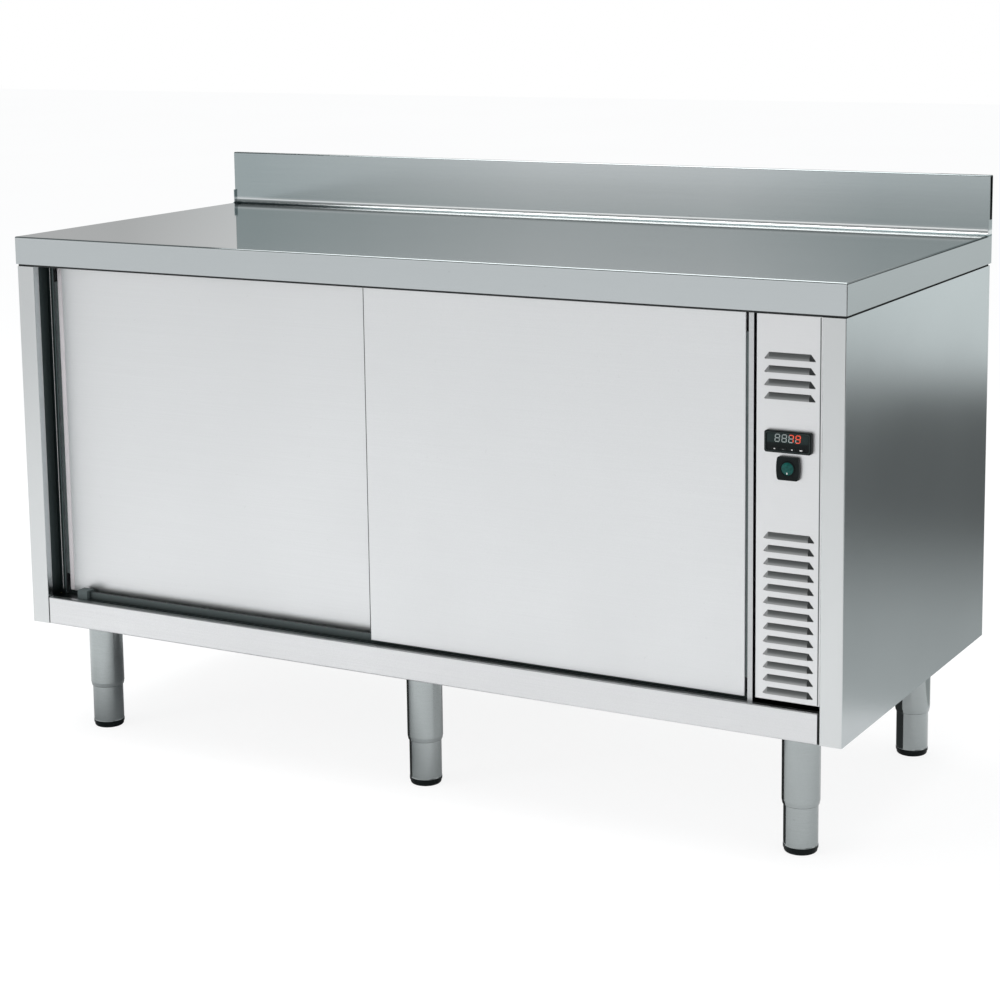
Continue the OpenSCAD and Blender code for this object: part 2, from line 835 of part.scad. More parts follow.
// Control panel: flat face with returns, pressed louvres and two cut-outs
module control_panel() {
    z = [panel_z0, panel_z1];
    through = [panel_y - eps, panel_y + sheet + eps];
    flange_x = [panel_x0 + sheet, panel_x1 - sheet];
    flange_y = [panel_y + sheet, panel_y + panel_return];
    open_end = panel_y + panel_return;
    color(steel)
        difference() {
            union() {
                along_z(z)
                    difference() {
                        round_plate2([panel_x0, panel_x1], [panel_y, open_end + 2 * bend_r], bend_r);
                        round_plate2(flange_x, [panel_y + sheet, open_end + 4 * bend_r], bend_r - sheet);
                        plate2([panel_x0 - eps, panel_x1 + eps], [open_end, open_end + 4 * bend_r]);
                    }
                slab(flange_x, flange_y, [panel_z0, panel_z0 + sheet]);
                slab(flange_x, flange_y, [panel_z1 - sheet, panel_z1]);
                for (top = louvre_tops())
                    translate([panel_mid, panel_y, top - louvre_h])
                        louvre(0);
            }
            for (top = louvre_tops())
                translate([panel_mid, panel_y, top - louvre_h])
                    louvre(louvre_t);
            slab([panel_mid - case_w / 2 - cutout_gap, panel_mid + case_w / 2 + cutout_gap], through,
                 [controller_z - case_h / 2 - cutout_gap, controller_z + case_h / 2 + cutout_gap]);
            slab([panel_mid - switch_body / 2 - cutout_gap, panel_mid + switch_body / 2 + cutout_gap],
                 through,
                 [switch_z - switch_body / 2 - cutout_gap, switch_z + switch_body / 2 + cutout_gap]);
        }
}

// Middle of a key, counted from the left
function key_x(i) = panel_mid + (i - 2.5) * key_pitch;

// Controller: bezel in front of the panel, case behind it, pockets for the window and the keys
module controller_case() {
    x = [panel_mid - bezel_w / 2, panel_mid + bezel_w / 2];
    z = [controller_z - bezel_h / 2, controller_z + bezel_h / 2];
    pocket = key_depth + key_travel + fit;
    color(black_plastic)
        difference() {
            union() {
                along_y([bezel_y, panel_y])
                    round_plate2(x, z, bezel_corner);
                slab([panel_mid - case_w / 2, panel_mid + case_w / 2],
                     [panel_y - eps, panel_y + case_depth],
                     [controller_z - case_h / 2, controller_z + case_h / 2]);
            }
            slab([panel_mid - window_w / 2, panel_mid + window_w / 2],
                 [bezel_y - eps, bezel_y + window_t],
                 [window_z - window_h / 2, window_z + window_h / 2]);
            for (i = [1 : 4])
                slab([key_x(i) - key_w / 2 - fit, key_x(i) + key_w / 2 + fit],
                     [bezel_y - eps, bezel_y + pocket],
                     [key_z - key_h / 2 - fit, key_z + key_h / 2 + fit]);
        }
}

// Display window, flush with the bezel
module controller_window() {
    color([0.12, 0.03, 0.03])
        slab([panel_mid - window_w / 2, panel_mid + window_w / 2], [bezel_y, bezel_y + window_t],
             [window_z - window_h / 2, window_z + window_h / 2]);
}

// One key of the controller, standing just proud of the bezel
module controller_key(i) {
    color([0.10, 0.10, 0.11])
        along_y([bezel_y - fit, bezel_y + key_depth])
            round_plate2([key_x(i) - key_w / 2, key_x(i) + key_w / 2],
                         [key_z - key_h / 2, key_z + key_h / 2], 1);
}

// Outline of the switch housing: rounded square with slightly bulged sides
module switch_outline() {
    bulge = 1.2;
    chord = switch_h / 2 - bezel_corner;
    r = (chord * chord + bulge * bulge) / (2 * bulge);
    translate([panel_mid, switch_z]) {
        round_plate2([-switch_w / 2, switch_w / 2], [-switch_h / 2, switch_h / 2], bezel_corner);
        for (s = [-1, 1])
            intersection() {
                translate([s * (switch_w / 2 + bulge - r), 0])
                    circle(r, $fn = 128);
                plate2([min(0, s * switch_w), max(0, s * switch_w)], [-chord, chord]);
            }
    }
}

// Switch housing: square front and the body behind the panel
module switch_housing() {
    half = switch_body / 2;
    pocket_end = bezel_y + button_depth + button_travel + fit;
    color(black_plastic)
        difference() {
            union() {
                along_y([bezel_y, panel_y])
                    switch_outline();
                slab([panel_mid - half, panel_mid + half], [panel_y - eps, panel_y + switch_body_depth],
                     [switch_z - half, switch_z + half]);
            }
            bar_y(panel_mid, [bezel_y - eps, pocket_end], switch_z, button_d + 2 * fit);
        }
}

// Lit push button with a shallow dome
module power_button() {
    dome = button_d * 1.1;
    rim = dome - sqrt(dome * dome - button_d * button_d / 4);
    color([0.05, 0.45, 0.30])
        translate([panel_mid, bezel_y - button_reach, switch_z])
            rotate([-90, 0, 0])
                rotate_extrude()
                    intersection() {
                        plate2([0, button_d / 2], [0, button_reach + button_depth]);
                        union() {
                            plate2([0, button_d / 2], [rim, button_reach + button_depth]);
                            translate([0, dome])
                                circle(dome, $fn = 128);
                        }
                    }
}

// Fan motor on its plate, bored for the fan's shaft
module fan_motor() {
    x = partition_x + sheet;
    half = motor_plate / 2;
    color([0.35, 0.36, 0.38])
        difference() {
            union() {
                slab([x, x + motor_plate_t], [fan_y - half, fan_y + half], [fan_z - half, fan_z + half]);
                bar_x([x, x + motor_l], fan_y, fan_z, motor_d);
            }
            bar_x([x - eps, x + motor_l * 0.6], fan_y, fan_z, shaft_d + 2 * axle_fit);
        }
}

// Fan wheel: back plate, blades, front ring, hub and shaft
module fan_wheel() {
    blade_r0 = wheel_d * 0.33;
    blade_l = wheel_d / 2 - blade_r0 - 1.5;
    x1 = partition_x - wheel_gap;
    plate = 2;
    color([0.72, 0.73, 0.74])
        translate([x1, fan_y, fan_z])
            rotate([0, -90, 0]) {
                cylinder(h = plate, d = wheel_d);
                cylinder(h = wheel_w * 0.8, d = shaft_d * 2.6);
                translate([0, 0, -wheel_gap - sheet - motor_l * 0.55])
                    cylinder(h = wheel_gap + sheet + motor_l * 0.55 + plate, d = shaft_d);
                for (i = [0 : blade_count - 1])
                    rotate([0, 0, 360 * i / blade_count])
                        translate([blade_r0, 0, plate / 2])
                            rotate([0, 0, 20])
                                cube([blade_l, 1.2, wheel_w - plate]);
                translate([0, 0, wheel_w - plate])
                    difference() {
                        cylinder(h = plate, d = wheel_d);
                        translate([0, 0, -eps])
                            cylinder(h = plate + 2 * eps, d = wheel_d * 0.7);
                    }
            }
}

// Fan cover with intake slots in its face and outlet slots in its sides
module fan_cover() {
    half = cover_side / 2;
    slot = cover_side / 24;
    x = [partition_x - cover_depth, partition_x];
    color(steel)
        difference() {
            slab(x, [fan_y - half, fan_y + half], [fan_z - half, fan_z + half]);
            slab([x[0] + sheet, x[1] + eps], [fan_y - half + sheet, fan_y + half - sheet],
                 [fan_z - half + sheet, fan_z + half - sheet]);
            for (i = [-3 : 3])
                slab([x[0] - eps, x[0] + sheet + eps], [fan_y - half / 2, fan_y + half / 2],
                     [fan_z + (2 * i - 0.5) * slot, fan_z + (2 * i + 0.5) * slot]);
            for (i = [-4 : 4])
                slab([x[0] + 3 * sheet, x[1] - 3 * sheet], [fan_y - half - eps, fan_y + half + eps],
                     [fan_z + (2 * i - 0.5) * slot, fan_z + (2 * i + 0.5) * slot]);
        }
}

// Height of the element's terminals below the fan's axis
function heater_drop() = sqrt(heater_d * heater_d / 4 - heater_spread * heater_spread);

// Heating element: two rings round the fan wheel and two terminals through the partition
module heater_element() {
    color([0.42, 0.40, 0.38]) {
        for (d = heater_rings)
            translate([partition_x - d, fan_y, fan_z])
                rotate([0, 90, 0])
                    rotate_extrude($fn = 96)
                        translate([heater_d / 2, 0])
                            circle(d = heater_tube);
        for (s = [-1, 1])
            bar_x([partition_x - heater_rings[1], partition_x + terminal_l], fan_y + s * heater_spread,
                  fan_z - heater_drop(), terminal_d);
    }
}

// Temperature probe in its clip on the partition
module temperature_probe() {
    y = -100;
    z = shelf_z + 130;
    clip = 14;
    half_l = 45;
    probe_d = 6;
    color([0.70, 0.70, 0.72]) {
        slab([partition_x - clip, partition_x], [y - clip / 2, y + clip / 2],
             [z - clip / 2, z + clip / 2]);
        bar_y(partition_x - clip / 2, [y - half_l, y + half_l], z, probe_d);
    }
}

// Terminal block on the floor of the control compartment
module terminal_block() {
    ways = 5;
    pitch = 13;
    rib = 3;
    low = 14;
    high = 24;
    x = [panel_mid - 16, panel_mid + 16];
    color([0.82, 0.80, 0.74]) {
        slab(x, [0, ways * pitch + rib], [floor_z, floor_z + low]);
        for (i = [0 : ways])
            slab(x, [i * pitch, i * pitch + rib], [floor_z, floor_z + high]);
    }
}

// Cable gland through the base pan: dome nut, flange and lock nut round the bore
module cable_gland() {
    pan = [body_rise, body_rise + sheet];
    low = pan[0] - gland_nut_h - gland_dome_h;
    high = pan[1] + gland_tail;
    color([0.16, 0.16, 0.17])
        difference() {
            union() {
                translate([gland_x, gland_y, low])
                    cylinder(h = gland_dome_h, d1 = gland_thread, d2 = gland_nut * 0.85);
                translate([gland_x, gland_y, pan[0] - gland_nut_h])
                    cylinder(h = gland_nut_h, d = gland_nut, $fn = 6);
                bar_z(gland_x, gland_y, [pan[0] - eps, high], gland_thread);
                translate([gland_x, gland_y, pan[1]])
                    cylinder(h = gland_tail / 2, d = gland_nut, $fn = 6);
            }
            bar_z(gland_x, gland_y, [low - eps, high + eps], gland_bore);
        }
}

// Upper leg tubes: closed on top, with a tapered collar that guides the foot
module leg_tubes() {
    r = leg_d / 2;
    guide_r = foot_d / 2 + fit;
    lid = 4;
    color(dull_steel)
        for (p = leg_spots)
            translate([p[0], p[1], 0])
                rotate_extrude()
                    polygon([
                        [stud_hole / 2, body_rise - lid], [r - leg_wall, body_rise - lid],
                        [r - leg_wall, step_z + collar_h], [guide_r, step_z + collar_h],
                        [guide_r, step_z], [(guide_r + r) / 2, step_z],
                        [r, step_z + taper_h], [r, body_rise], [stud_hole / 2, body_rise]]);
}

// Mounting plates above the base pan, each with its levelling stud
module leg_mounts() {
    half = plate_side / 2;
    z = body_rise + sheet;
    color(dull_steel)
        for (p = leg_spots) {
            slab([p[0] - half, p[0] + half], [p[1] - half, p[1] + half], [z, z + plate_t]);
            bar_z(p[0], p[1], [stud_z, z + plate_t], stud_d);
        }
}

// Adjustable foot: sleeve with a tapped plug on top
module foot(p) {
    r = foot_d / 2;
    rim = r - foot_wall;
    color(dull_steel)
        translate([p[0], p[1], 0])
            rotate_extrude()
                polygon([
                    [0, cap_h], [r, cap_h], [r, foot_top], [stud_hole / 2, foot_top],
                    [stud_hole / 2, foot_top - plug_h], [rim, foot_top - plug_h],
                    [rim, cap_h + foot_floor], [0, cap_h + foot_floor]]);
}

// Black cap under a foot, rounded at its lower edge
module foot_cap(p) {
    r = foot_d / 2 - cap_inset;
    edge = cap_h / 2;
    color(black_plastic)
        translate([p[0], p[1], 0])
            rotate_extrude() {
                plate2([0, r - edge], [0, cap_h]);
                plate2([0, r], [edge, cap_h]);
                translate([r - edge, edge])
                    intersection() {
                        circle(edge);
                        plate2([0, edge], [-edge, 0]);
                    }
            }
}

// Outer pan of a door, from its left edge x and its face y
module door_outer(x, y) {
    x1 = x + door_w;
    rest = door_back + 4 * bend_r;
    lip = (door_t - slot_w) / 2;
    color(steel)
        difference() {
            union() {
                along_z([door_z0, door_z1])
                    difference() {
                        round_plate2([x, x1], [y, y + door_back + 2 * bend_r], bend_r);
                        round_plate2([x + sheet, x1 - sheet], [y + sheet, y + rest], bend_r - sheet);
                        plate2([x - eps, x1 + eps], [y + door_back, y + rest]);
                    }
                slab([x + sheet, x1 - sheet], [y + sheet, y + door_back], [door_z1 - sheet, door_z1]);
                slab([x + sheet, x1 - sheet], [y + sheet, y + lip], [door_z0, door_z0 + sheet]);
            }
            slab([x - eps, x1 + eps], [y + lip, y + door_t - lip], [door_z0 - eps, door_z0 + slot_h]);
        }
}

// Hanger on a door's upper edge: foot, plate, axle and its head, at x and the door's face y
module hanger(x, y) {
    mid = y + door_t / 2;
    wide = [x - hanger_w / 2, x + hanger_w / 2];
    plate_front = mid - hanger_t / 2;
    slab(wide, [plate_front, y + door_t], [door_z1, door_z1 + hanger_t]);
    slab(wide, [plate_front, plate_front + hanger_t], [door_z1, axle_z + axle_d]);
    bar_y(x, [plate_front - 2 * roller_gap - roller_w, plate_front + eps], axle_z, axle_d);
    bar_y(x,
          [plate_front - 2 * roller_gap - roller_w - axle_head_t,
           plate_front - 2 * roller_gap - roller_w],
          axle_z, axle_head_d);
}

// Places of a door's two hangers
function hanger_x(x) = [x + hanger_inset, x + door_w - hanger_inset];

// Inner pan of a door with its two hangers
module door_inner(x, y) {
    lip = (door_t - slot_w) / 2;
    color(dull_steel) {
        slab([x, x + door_w], [y + door_back, y + door_t], [door_z0, door_z1]);
        slab([x + 2 * sheet, x + door_w - 2 * sheet], [y + door_t - lip, y + door_back + eps],
             [door_z0, door_z0 + sheet]);
        for (hx = hanger_x(x))
            hanger(hx, y);
    }
}

// Insulation inside a door
module door_core(x, y) {
    color([0.78, 0.72, 0.50])
        slab([x + bend_r + fit, x + door_w - bend_r - fit], [y + sheet, y + door_back],
             [door_z0 + slot_h + 1, door_z1 - sheet - fit]);
}

// Door roller on the axle at x, for the door whose face is at y
module door_roller(x, y) {
    r = roller_d / 2;
    bore = axle_d / 2 + axle_fit;
    y1 = y + door_t / 2 - hanger_t / 2 - roller_gap;
    color(nylon)
        translate([x, y1, axle_z])
            rotate([90, 0, 0])
                rotate_extrude()
                    polygon([
                        [bore, 0], [r - 1, 0], [r, 1], [r, roller_w - 1], [r - 1, roller_w],
                        [bore, roller_w]]);
}

worktop();
worktop_core();
top_frame();
left_side_panel();
right_side_panel();
rear_panel();
rear_panel_screws();
base_pan();
bottom_rail();
floor_panel();
left_liner();
rear_liner();
ceiling_liner();
partition();
insulation_slabs();
upper_track();
lower_tracks();
door_stops();
shelf();
shelf_supports();
control_panel();
controller_case();
controller_window();
controller_key(1);  // controller_key_1
controller_key(2);  // controller_key_2
controller_key(3);  // controller_key_3
controller_key(4);  // controller_key_4
switch_housing();
power_button();
fan_motor();
fan_wheel();
fan_cover();
heater_element();
temperature_probe();
terminal_block();
cable_gland();
leg_tubes();
leg_mounts();
foot(leg_spots[0]);  // foot_front_left
foot(leg_spots[1]);  // foot_front_middle
foot(leg_spots[2]);  // foot_front_right
foot(leg_spots[3]);  // foot_rear_left
foot(leg_spots[4]);  // foot_rear_middle
foot(leg_spots[5]);  // foot_rear_right
foot_cap(leg_spots[0]);  // foot_cap_front_left
foot_cap(leg_spots[1]);  // foot_cap_front_middle
foot_cap(leg_spots[2]);  // foot_cap_front_right
foot_cap(leg_spots[3]);  // foot_cap_rear_left
foot_cap(leg_spots[4]);  // foot_cap_rear_middle
foot_cap(leg_spots[5]);  // foot_cap_rear_right
door_outer(left_door_x, rear_door_y);  // left_door_outer
door_inner(left_door_x, rear_door_y);  // left_door_inner
door_core(left_door_x, rear_door_y);  // left_door_core
door_roller(hanger_x(left_door_x)[0], rear_door_y);  // left_door_roller_1
door_roller(hanger_x(left_door_x)[1], rear_door_y);  // left_door_roller_2
door_outer(right_door_x, front_door_y);  // right_door_outer
door_inner(right_door_x, front_door_y);  // right_door_inner
door_core(right_door_x, front_door_y);  // right_door_core
door_roller(hanger_x(right_door_x)[0], front_door_y);  // right_door_roller_1
door_roller(hanger_x(right_door_x)[1], front_door_y);  // right_door_roller_2
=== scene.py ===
"""Looks of a free-standing hot cupboard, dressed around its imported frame."""

import json
import math

import bmesh
import bpy
from mathutils import Matrix, Vector


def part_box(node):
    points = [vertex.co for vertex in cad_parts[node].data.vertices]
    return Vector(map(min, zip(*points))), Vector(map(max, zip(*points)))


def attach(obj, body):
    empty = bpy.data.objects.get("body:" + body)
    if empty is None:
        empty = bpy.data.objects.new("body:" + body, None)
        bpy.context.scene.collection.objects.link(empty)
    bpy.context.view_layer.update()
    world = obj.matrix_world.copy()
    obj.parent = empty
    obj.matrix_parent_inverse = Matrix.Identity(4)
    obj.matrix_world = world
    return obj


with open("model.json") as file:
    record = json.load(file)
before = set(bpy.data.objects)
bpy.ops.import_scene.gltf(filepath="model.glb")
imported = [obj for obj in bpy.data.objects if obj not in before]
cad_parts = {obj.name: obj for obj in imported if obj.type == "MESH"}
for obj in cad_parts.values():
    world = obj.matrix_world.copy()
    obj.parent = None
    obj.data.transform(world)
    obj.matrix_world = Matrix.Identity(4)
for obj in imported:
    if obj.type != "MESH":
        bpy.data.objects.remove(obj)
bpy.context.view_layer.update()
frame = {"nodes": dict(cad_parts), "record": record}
nodes = frame["nodes"]
scene = bpy.context.scene
scene.view_settings.view_transform = "Standard"

MM = 0.001
BLACK = (0.0, 0.0, 0.0)
WHITE = (1.0, 1.0, 1.0)
# Roughness of every noise
NOISE_ROUGH = 0.55

# A range is given as where it starts and ends, and the values there.

# Camera: place, angles, focal length in pixels of a 1000 pixel frame, row of the optical axis
FRAME_PX = 1000
SENSOR = 36.0
CAMERA_AT = (2.0135, -3.5600, 1.3856)
YAW, PITCH, ROLL = 29.350, 9.192, -0.753
FOCAL_PX = 2312.2
AXIS_ROW = 350

# World: green and blue beside red in its greys, tones of the mirrored ceiling by height, ranges of the
# dimmer part behind to the left, and the colour that lights all but the metal
COOL_CAST = 1.06
CEILING_TONES = ((0.20, 1.0), (0.34, 0.42), (0.60, 0.26), (0.80, 0.17))
LEFT_DIM = (-0.62, -0.56, 0.32, 0.0)
BACK_DIM = (0.0, 0.1, 0.0, 1.0)
AMBIENT = (0.62, 0.64, 0.66)

# Soft boxes: place, target, size, power in watts, and whether the metal mirrors them
LIGHTS = {"overhead": ((0.2, -0.6, 3.2), (0, 0, 0.9), (3.2, 2.2), 50, False),
          "soft_box": ((-0.95, 0.9, 3.2), (-0.95, 0.9, 0.0), (2.1, 3.2), 52, True),
          "front_left": ((-2.6, -3.4, 2.2), (0, 0, 0.5), (1.6, 2.0), 30, False)}

# Floor: size, cells of its tint for each metre, tones, glow, and its share for camera and reflections
FLOOR_SIDE = 40.0
FLOOR_CELLS = 0.6
FLOOR_TONES = ((0.86, 0.86, 0.86), (0.9, 0.9, 0.9))
FLOOR_GLOW = 1.08
CAMERA_SHARE = 0.80
MIRROR_SHARE = 0.40
# Painted shadow on the floor under the cabinet, seen only in reflections: middle, half size, width of its
# soft edge, glow
PATCH_AT = (-0.48, 0.0, 0.0)
PATCH_HALF = (0.32, 0.35, 0.0)
PATCH_EDGE = 0.4
PATCH_GLOW = 0.02
# Dark card behind to the right, with a part that lies on the floor in front of it: place, direction,
# size, gap over the floor, tones from its near edge to its top
CARD_AT = Vector((1.566, 2.273, 0.0))
CARD_FACING = Vector((0.320, 0.947, 0.0))
CARD_W, CARD_H, CARD_REACH = 3.6, 1.6, 1.9
CARD_LIFT = 0.002
CARD_TONES = ((0.0, 0.52), (0.20, 0.43), (0.443, 0.14), (0.614, 0.12), (0.651, 0.80), (0.757, 0.92),
              (0.814, 0.12))
# Dark card to the right: places of its ends, heights, tones from bottom to top
RIGHT_FLAG = ((2.0, -1.25), (2.27, -0.05))
RIGHT_HEIGHTS = (0.12, 0.95)
RIGHT_TONES = ((0.0, 0.60), (0.35, 0.10), (1.0, 0.06))
# Dark cards beside legs: heading of their corners in degrees, distance from the leg's axis, heights,
# tones
LEG_FLAGS = {"front_middle": (108, 160, 212), "front_right": (104, 155, 205),
             "rear_right": (100, 170, 240)}
LEG_FLAG_AWAY = 0.05
LEG_FLAG_HEIGHTS = (0.004, 0.205)
LEG_FLAG_TONES = ((0.0, 0.05), (1.0, 0.04))


def make_camera():
    """Camera at the photograph's viewing angle."""
    yaw, pitch, roll = (math.radians(a) for a in (YAW, PITCH, ROLL))
    forward = Vector((-math.sin(yaw) * math.cos(pitch), math.cos(yaw) * math.cos(pitch),
                      -math.sin(pitch)))
    level = Vector((math.cos(yaw), math.sin(yaw), 0))
    upright = level.cross(forward)
    right = math.cos(roll) * level + math.sin(roll) * upright
    up = math.cos(roll) * upright - math.sin(roll) * level
    data = bpy.data.cameras.new("camera")
    data.sensor_width = SENSOR
    data.lens = FOCAL_PX * SENSOR / FRAME_PX
    data.shift_y = (AXIS_ROW - FRAME_PX / 2) / FRAME_PX
    camera = bpy.data.objects.new("camera", data)
    axes = Matrix((right, up, -forward)).transposed().to_4x4()
    camera.matrix_world = Matrix.Translation(CAMERA_AT) @ axes
    scene.collection.objects.link(camera)
    scene.camera = camera


def add(tree, kind, inputs=None, **settings):
    """New shader node: settings are its properties, inputs are values or sockets to link."""
    node = tree.nodes.new("ShaderNode" + kind)
    for key, value in settings.items():
        setattr(node, key, value)
    for key, value in (inputs or {}).items():
        socket = node.inputs[key]
        if isinstance(value, bpy.types.NodeSocket):
            tree.links.new(value, socket)
        else:
            socket.default_value = value
    return node


def maths(tree, operation, *values):
    """Result of a Math node on values or sockets."""
    return add(tree, "Math", dict(enumerate(values)), operation=operation).outputs[0]


def vector_maths(tree, operation, *values, result="Vector"):
    """Result of a Vector Math node on vectors or sockets."""
    return add(tree, "VectorMath", dict(enumerate(values)), operation=operation).outputs[result]


def apart(tree, vector):
    """The three numbers of a vector."""
    node = add(tree, "SeparateXYZ", {"Vector": vector})
    return [node.outputs[axis] for axis in "XYZ"]


def new_material(name):
    """Material with an empty tree but for its shader; returns the material, the tree and the shader."""
    material = bpy.data.materials.new(name)
    material.use_nodes = True
    tree = material.node_tree
    return material, tree, tree.nodes["Principled BSDF"]


def spot(tree):
    """Coordinates of the shaded point in metres, in the part's own frame."""
    return add(tree, "TexCoord").outputs["Object"]


def stretched_noise(tree, at, cells, detail):
    """Noise with its own number of cells for each metre along each of the three axes."""
    mapping = add(tree, "Mapping", {"Vector": at, "Scale": cells})
    noise = add(tree, "TexNoise", {"Vector": mapping.outputs["Vector"], "Scale": 1.0, "Detail": detail,
                                   "Roughness": NOISE_ROUGH})
    return noise.outputs["Fac"]


def even_noise(tree, at, cells, detail=2.0):
    """Noise with as many cells for each metre along all three axes."""
    return stretched_noise(tree, at, (cells, cells, cells), detail)


def fit_range(tree, value, low, high, out_low, out_high):
    """Value moved from one range to another, clamped."""
    node = add(tree, "MapRange", {"Value": value, "From Min": low, "From Max": high,
                                  "To Min": out_low, "To Max": out_high})
    return node.outputs["Result"]


def mix_colour(tree, factor, a, b):
    """Colour between a and b."""
    node = add(tree, "Mix", data_type="RGBA")
    for socket, value in ((node.inputs[0], factor), (node.inputs[6], a), (node.inputs[7], b)):
        if isinstance(value, bpy.types.NodeSocket):
            tree.links.new(value, socket)
        else:
            socket.default_value = value if isinstance(value, float) else (*value, 1.0)
    return node.outputs[2]


def tone_ramp(tree, value, stops):
    """Greenish grey that follows a value through stops of position and tone."""
    ramp = add(tree, "ValToRGB", {"Fac": value})
    elements = ramp.color_ramp.elements
    elements.remove(elements[1])
    for i, (position, tone) in enumerate(stops):
        element = elements.new(position) if i else elements[0]
        element.position = position
        cool = min(1.0, COOL_CAST * tone)
        element.color = (tone, cool, cool, 1.0)
    return ramp.outputs["Color"]


def shade(colour, factor):
    """Colour made lighter or darker."""
    return tuple(min(1.0, c * factor) for c in colour)


def swing(value, share):
    """Value less and plus a share of it."""
    return value * (1 - share), value * (1 + share)


def emboss(tree, bsdf, height, strength, depth):
    """Relief of a depth in metres on the shader's surface."""
    relief = add(tree, "Bump", {"Height": height, "Strength": strength, "Distance": depth})
    tree.links.new(relief.outputs["Normal"], bsdf.inputs["Normal"])


# Planes across Y in metres and the colour in front of them: painted shade that darkens the front of the
# floor panel and of the left jamb, and the pale face of the side posts, whose sides carry painted shade.
# The colour changes over a short way.
TRACK_SHADE = (-0.279, (0.020, 0.026, 0.026))
JAMB_SHADE = (-0.3062, (0.060, 0.078, 0.078))
POST_FACE = (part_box("right_side_panel")[0].y + 0.0005, (0.640, 0.655, 0.655))
PLANE_EDGE = 0.001

# Worktop: its height in metres and how close to it the top lies, roughness of the polished top, colour
# of the painted shade that top and upstand fade to, colour of the cove's painted highlight and its
# roughness
WORK_LEVEL = 0.930
LEVEL_BAND = 0.002
POLISH = 0.05
TOP_PAINTED_SHADE = (0.0, 0.10, 0.105)
COVE_HIGHLIGHT = (0.96, 0.97, 0.97)
COVE_ROUGH = 0.20
# Ranges in metres for the worktop's painted shade: fade of the top along Y, upstand in Z, its fades along
# X, and the right end in X
TOP_FADE = (-0.30, 0.33, 0.13, 0.58)
UPSTAND = (WORK_LEVEL + 0.010, WORK_LEVEL + 0.014, 0.0, 1.0)
LEFT_FADE = (-0.75, -0.10, 0.35, 0.0)
RIGHT_FADE = (0.30, 0.60, 0.0, 0.23)
END_SHADE = (0.7992, 0.7996, 0.0, 0.16)
# Ranges in metres for the cove's painted highlight: lower and upper end in Z, start in Y, growing
# brightness along X
COVE_FOOT = (WORK_LEVEL + 0.0008, WORK_LEVEL + 0.0016, 0.0, 1.0)
COVE_CREST = (WORK_LEVEL + 0.008, WORK_LEVEL + 0.010, 1.0, 0.0)
COVE_START = (0.28, 0.29)
COVE_GAIN = (-0.75, -0.25, 0.0, 0.85)

# Face of the control panel in millimetres. Ranges of the painted shade on its louvres: tops by the
# normal's Z, right ends by its X, and all that stands proud of the face by Y in metres
PANEL_FACE = -340.0
LOUVRE_TOP = (0.10, 0.45, 0.0, 0.55)
LOUVRE_END = (0.25, 0.50, 0.0, 0.85)
LOUVRE_PROUD = ((PANEL_FACE - 2.0) * MM, (PANEL_FACE - 0.8) * MM, 0.40, 0.0)


def painted_light_before(plane, colour):
    """Painted light and shade: another colour in front of a plane across Y."""
    def painted_light(tree, at, worn_and_painted, dull):
        y = apart(tree, at)[1]
        behind = fit_range(tree, y, plane, plane + PLANE_EDGE, 0.0, 1.0)
        return mix_colour(tree, behind, colour, worn_and_painted), dull
    return painted_light


def worktop_polish_and_painted_light(tree, at, worn_and_painted, dull):
    """Polished top with painted shade that darkens it towards the back and darkens the upstand towards
    its ends and the right end, and a painted highlight that brightens the cove but for its left end."""
    x, y, z = apart(tree, at)
    level = maths(tree, "COMPARE", z, WORK_LEVEL, LEVEL_BAND)
    dull = fit_range(tree, level, 0.0, 1.0, dull, POLISH)
    above = fit_range(tree, z, *UPSTAND)
    ends = maths(tree, "ADD", fit_range(tree, x, *LEFT_FADE), fit_range(tree, x, *RIGHT_FADE))
    # Painted shade: the top darkens towards the back and the upstand towards its ends.
    for part, fade in ((level, fit_range(tree, y, *TOP_FADE)), (above, ends)):
        worn_and_painted = mix_colour(tree, maths(tree, "MULTIPLY", part, fade), worn_and_painted, TOP_PAINTED_SHADE)
    # Painted shade on the right end.
    worn_and_painted = mix_colour(tree, fit_range(tree, x, *END_SHADE), worn_and_painted, BLACK)
    # Painted highlight in the cove, growing towards the right.
    band = maths(tree, "MULTIPLY", fit_range(tree, z, *COVE_FOOT), fit_range(tree, z, *COVE_CREST))
    rear = fit_range(tree, y, *COVE_START, 0.0, fit_range(tree, x, *COVE_GAIN))
    cove = maths(tree, "MULTIPLY", band, rear)
    return mix_colour(tree, cove, worn_and_painted, COVE_HIGHLIGHT), fit_range(tree, cove, 0.0, 1.0, dull, COVE_ROUGH)


def louvre_painted_shade(tree, at, worn_and_painted, dull):
    """Painted shade on the louvres: darker than the panel that they are pressed from, most of all on tops
    and right ends.
    """
    across, _, up = apart(tree, add(tree, "NewGeometry").outputs["Normal"])
    proud = fit_range(tree, apart(tree, at)[1], *LOUVRE_PROUD)
    dark = maths(tree, "MAXIMUM", fit_range(tree, up, *LOUVRE_TOP), proud)
    dark = maths(tree, "MAXIMUM", dark, fit_range(tree, across, *LOUVRE_END))
    return mix_colour(tree, dark, worn_and_painted, BLACK), dull


# Spans of a noise that tones follow, from wide to narrow
WIDE, MIDDLE, NARROW = (0.3, 0.7), (0.35, 0.65), (0.4, 0.6)
# Steel: cells of its cloudy patches, sparkle and marks for each metre, spans of grain and marks, tone of
# the marks, swing of its roughness, depth of its grain in metres
STEEL_CLOUD, STEEL_SPARKLE, STEEL_MARKS = 2.2, 700, 110
GRAIN_SPAN = (0.75, 1.25)
MARK_SPAN = (0.745, 0.77)
MARK_TONE = 0.45
STEEL_SWING = 0.12
GRAIN_DEPTH = 0.0002
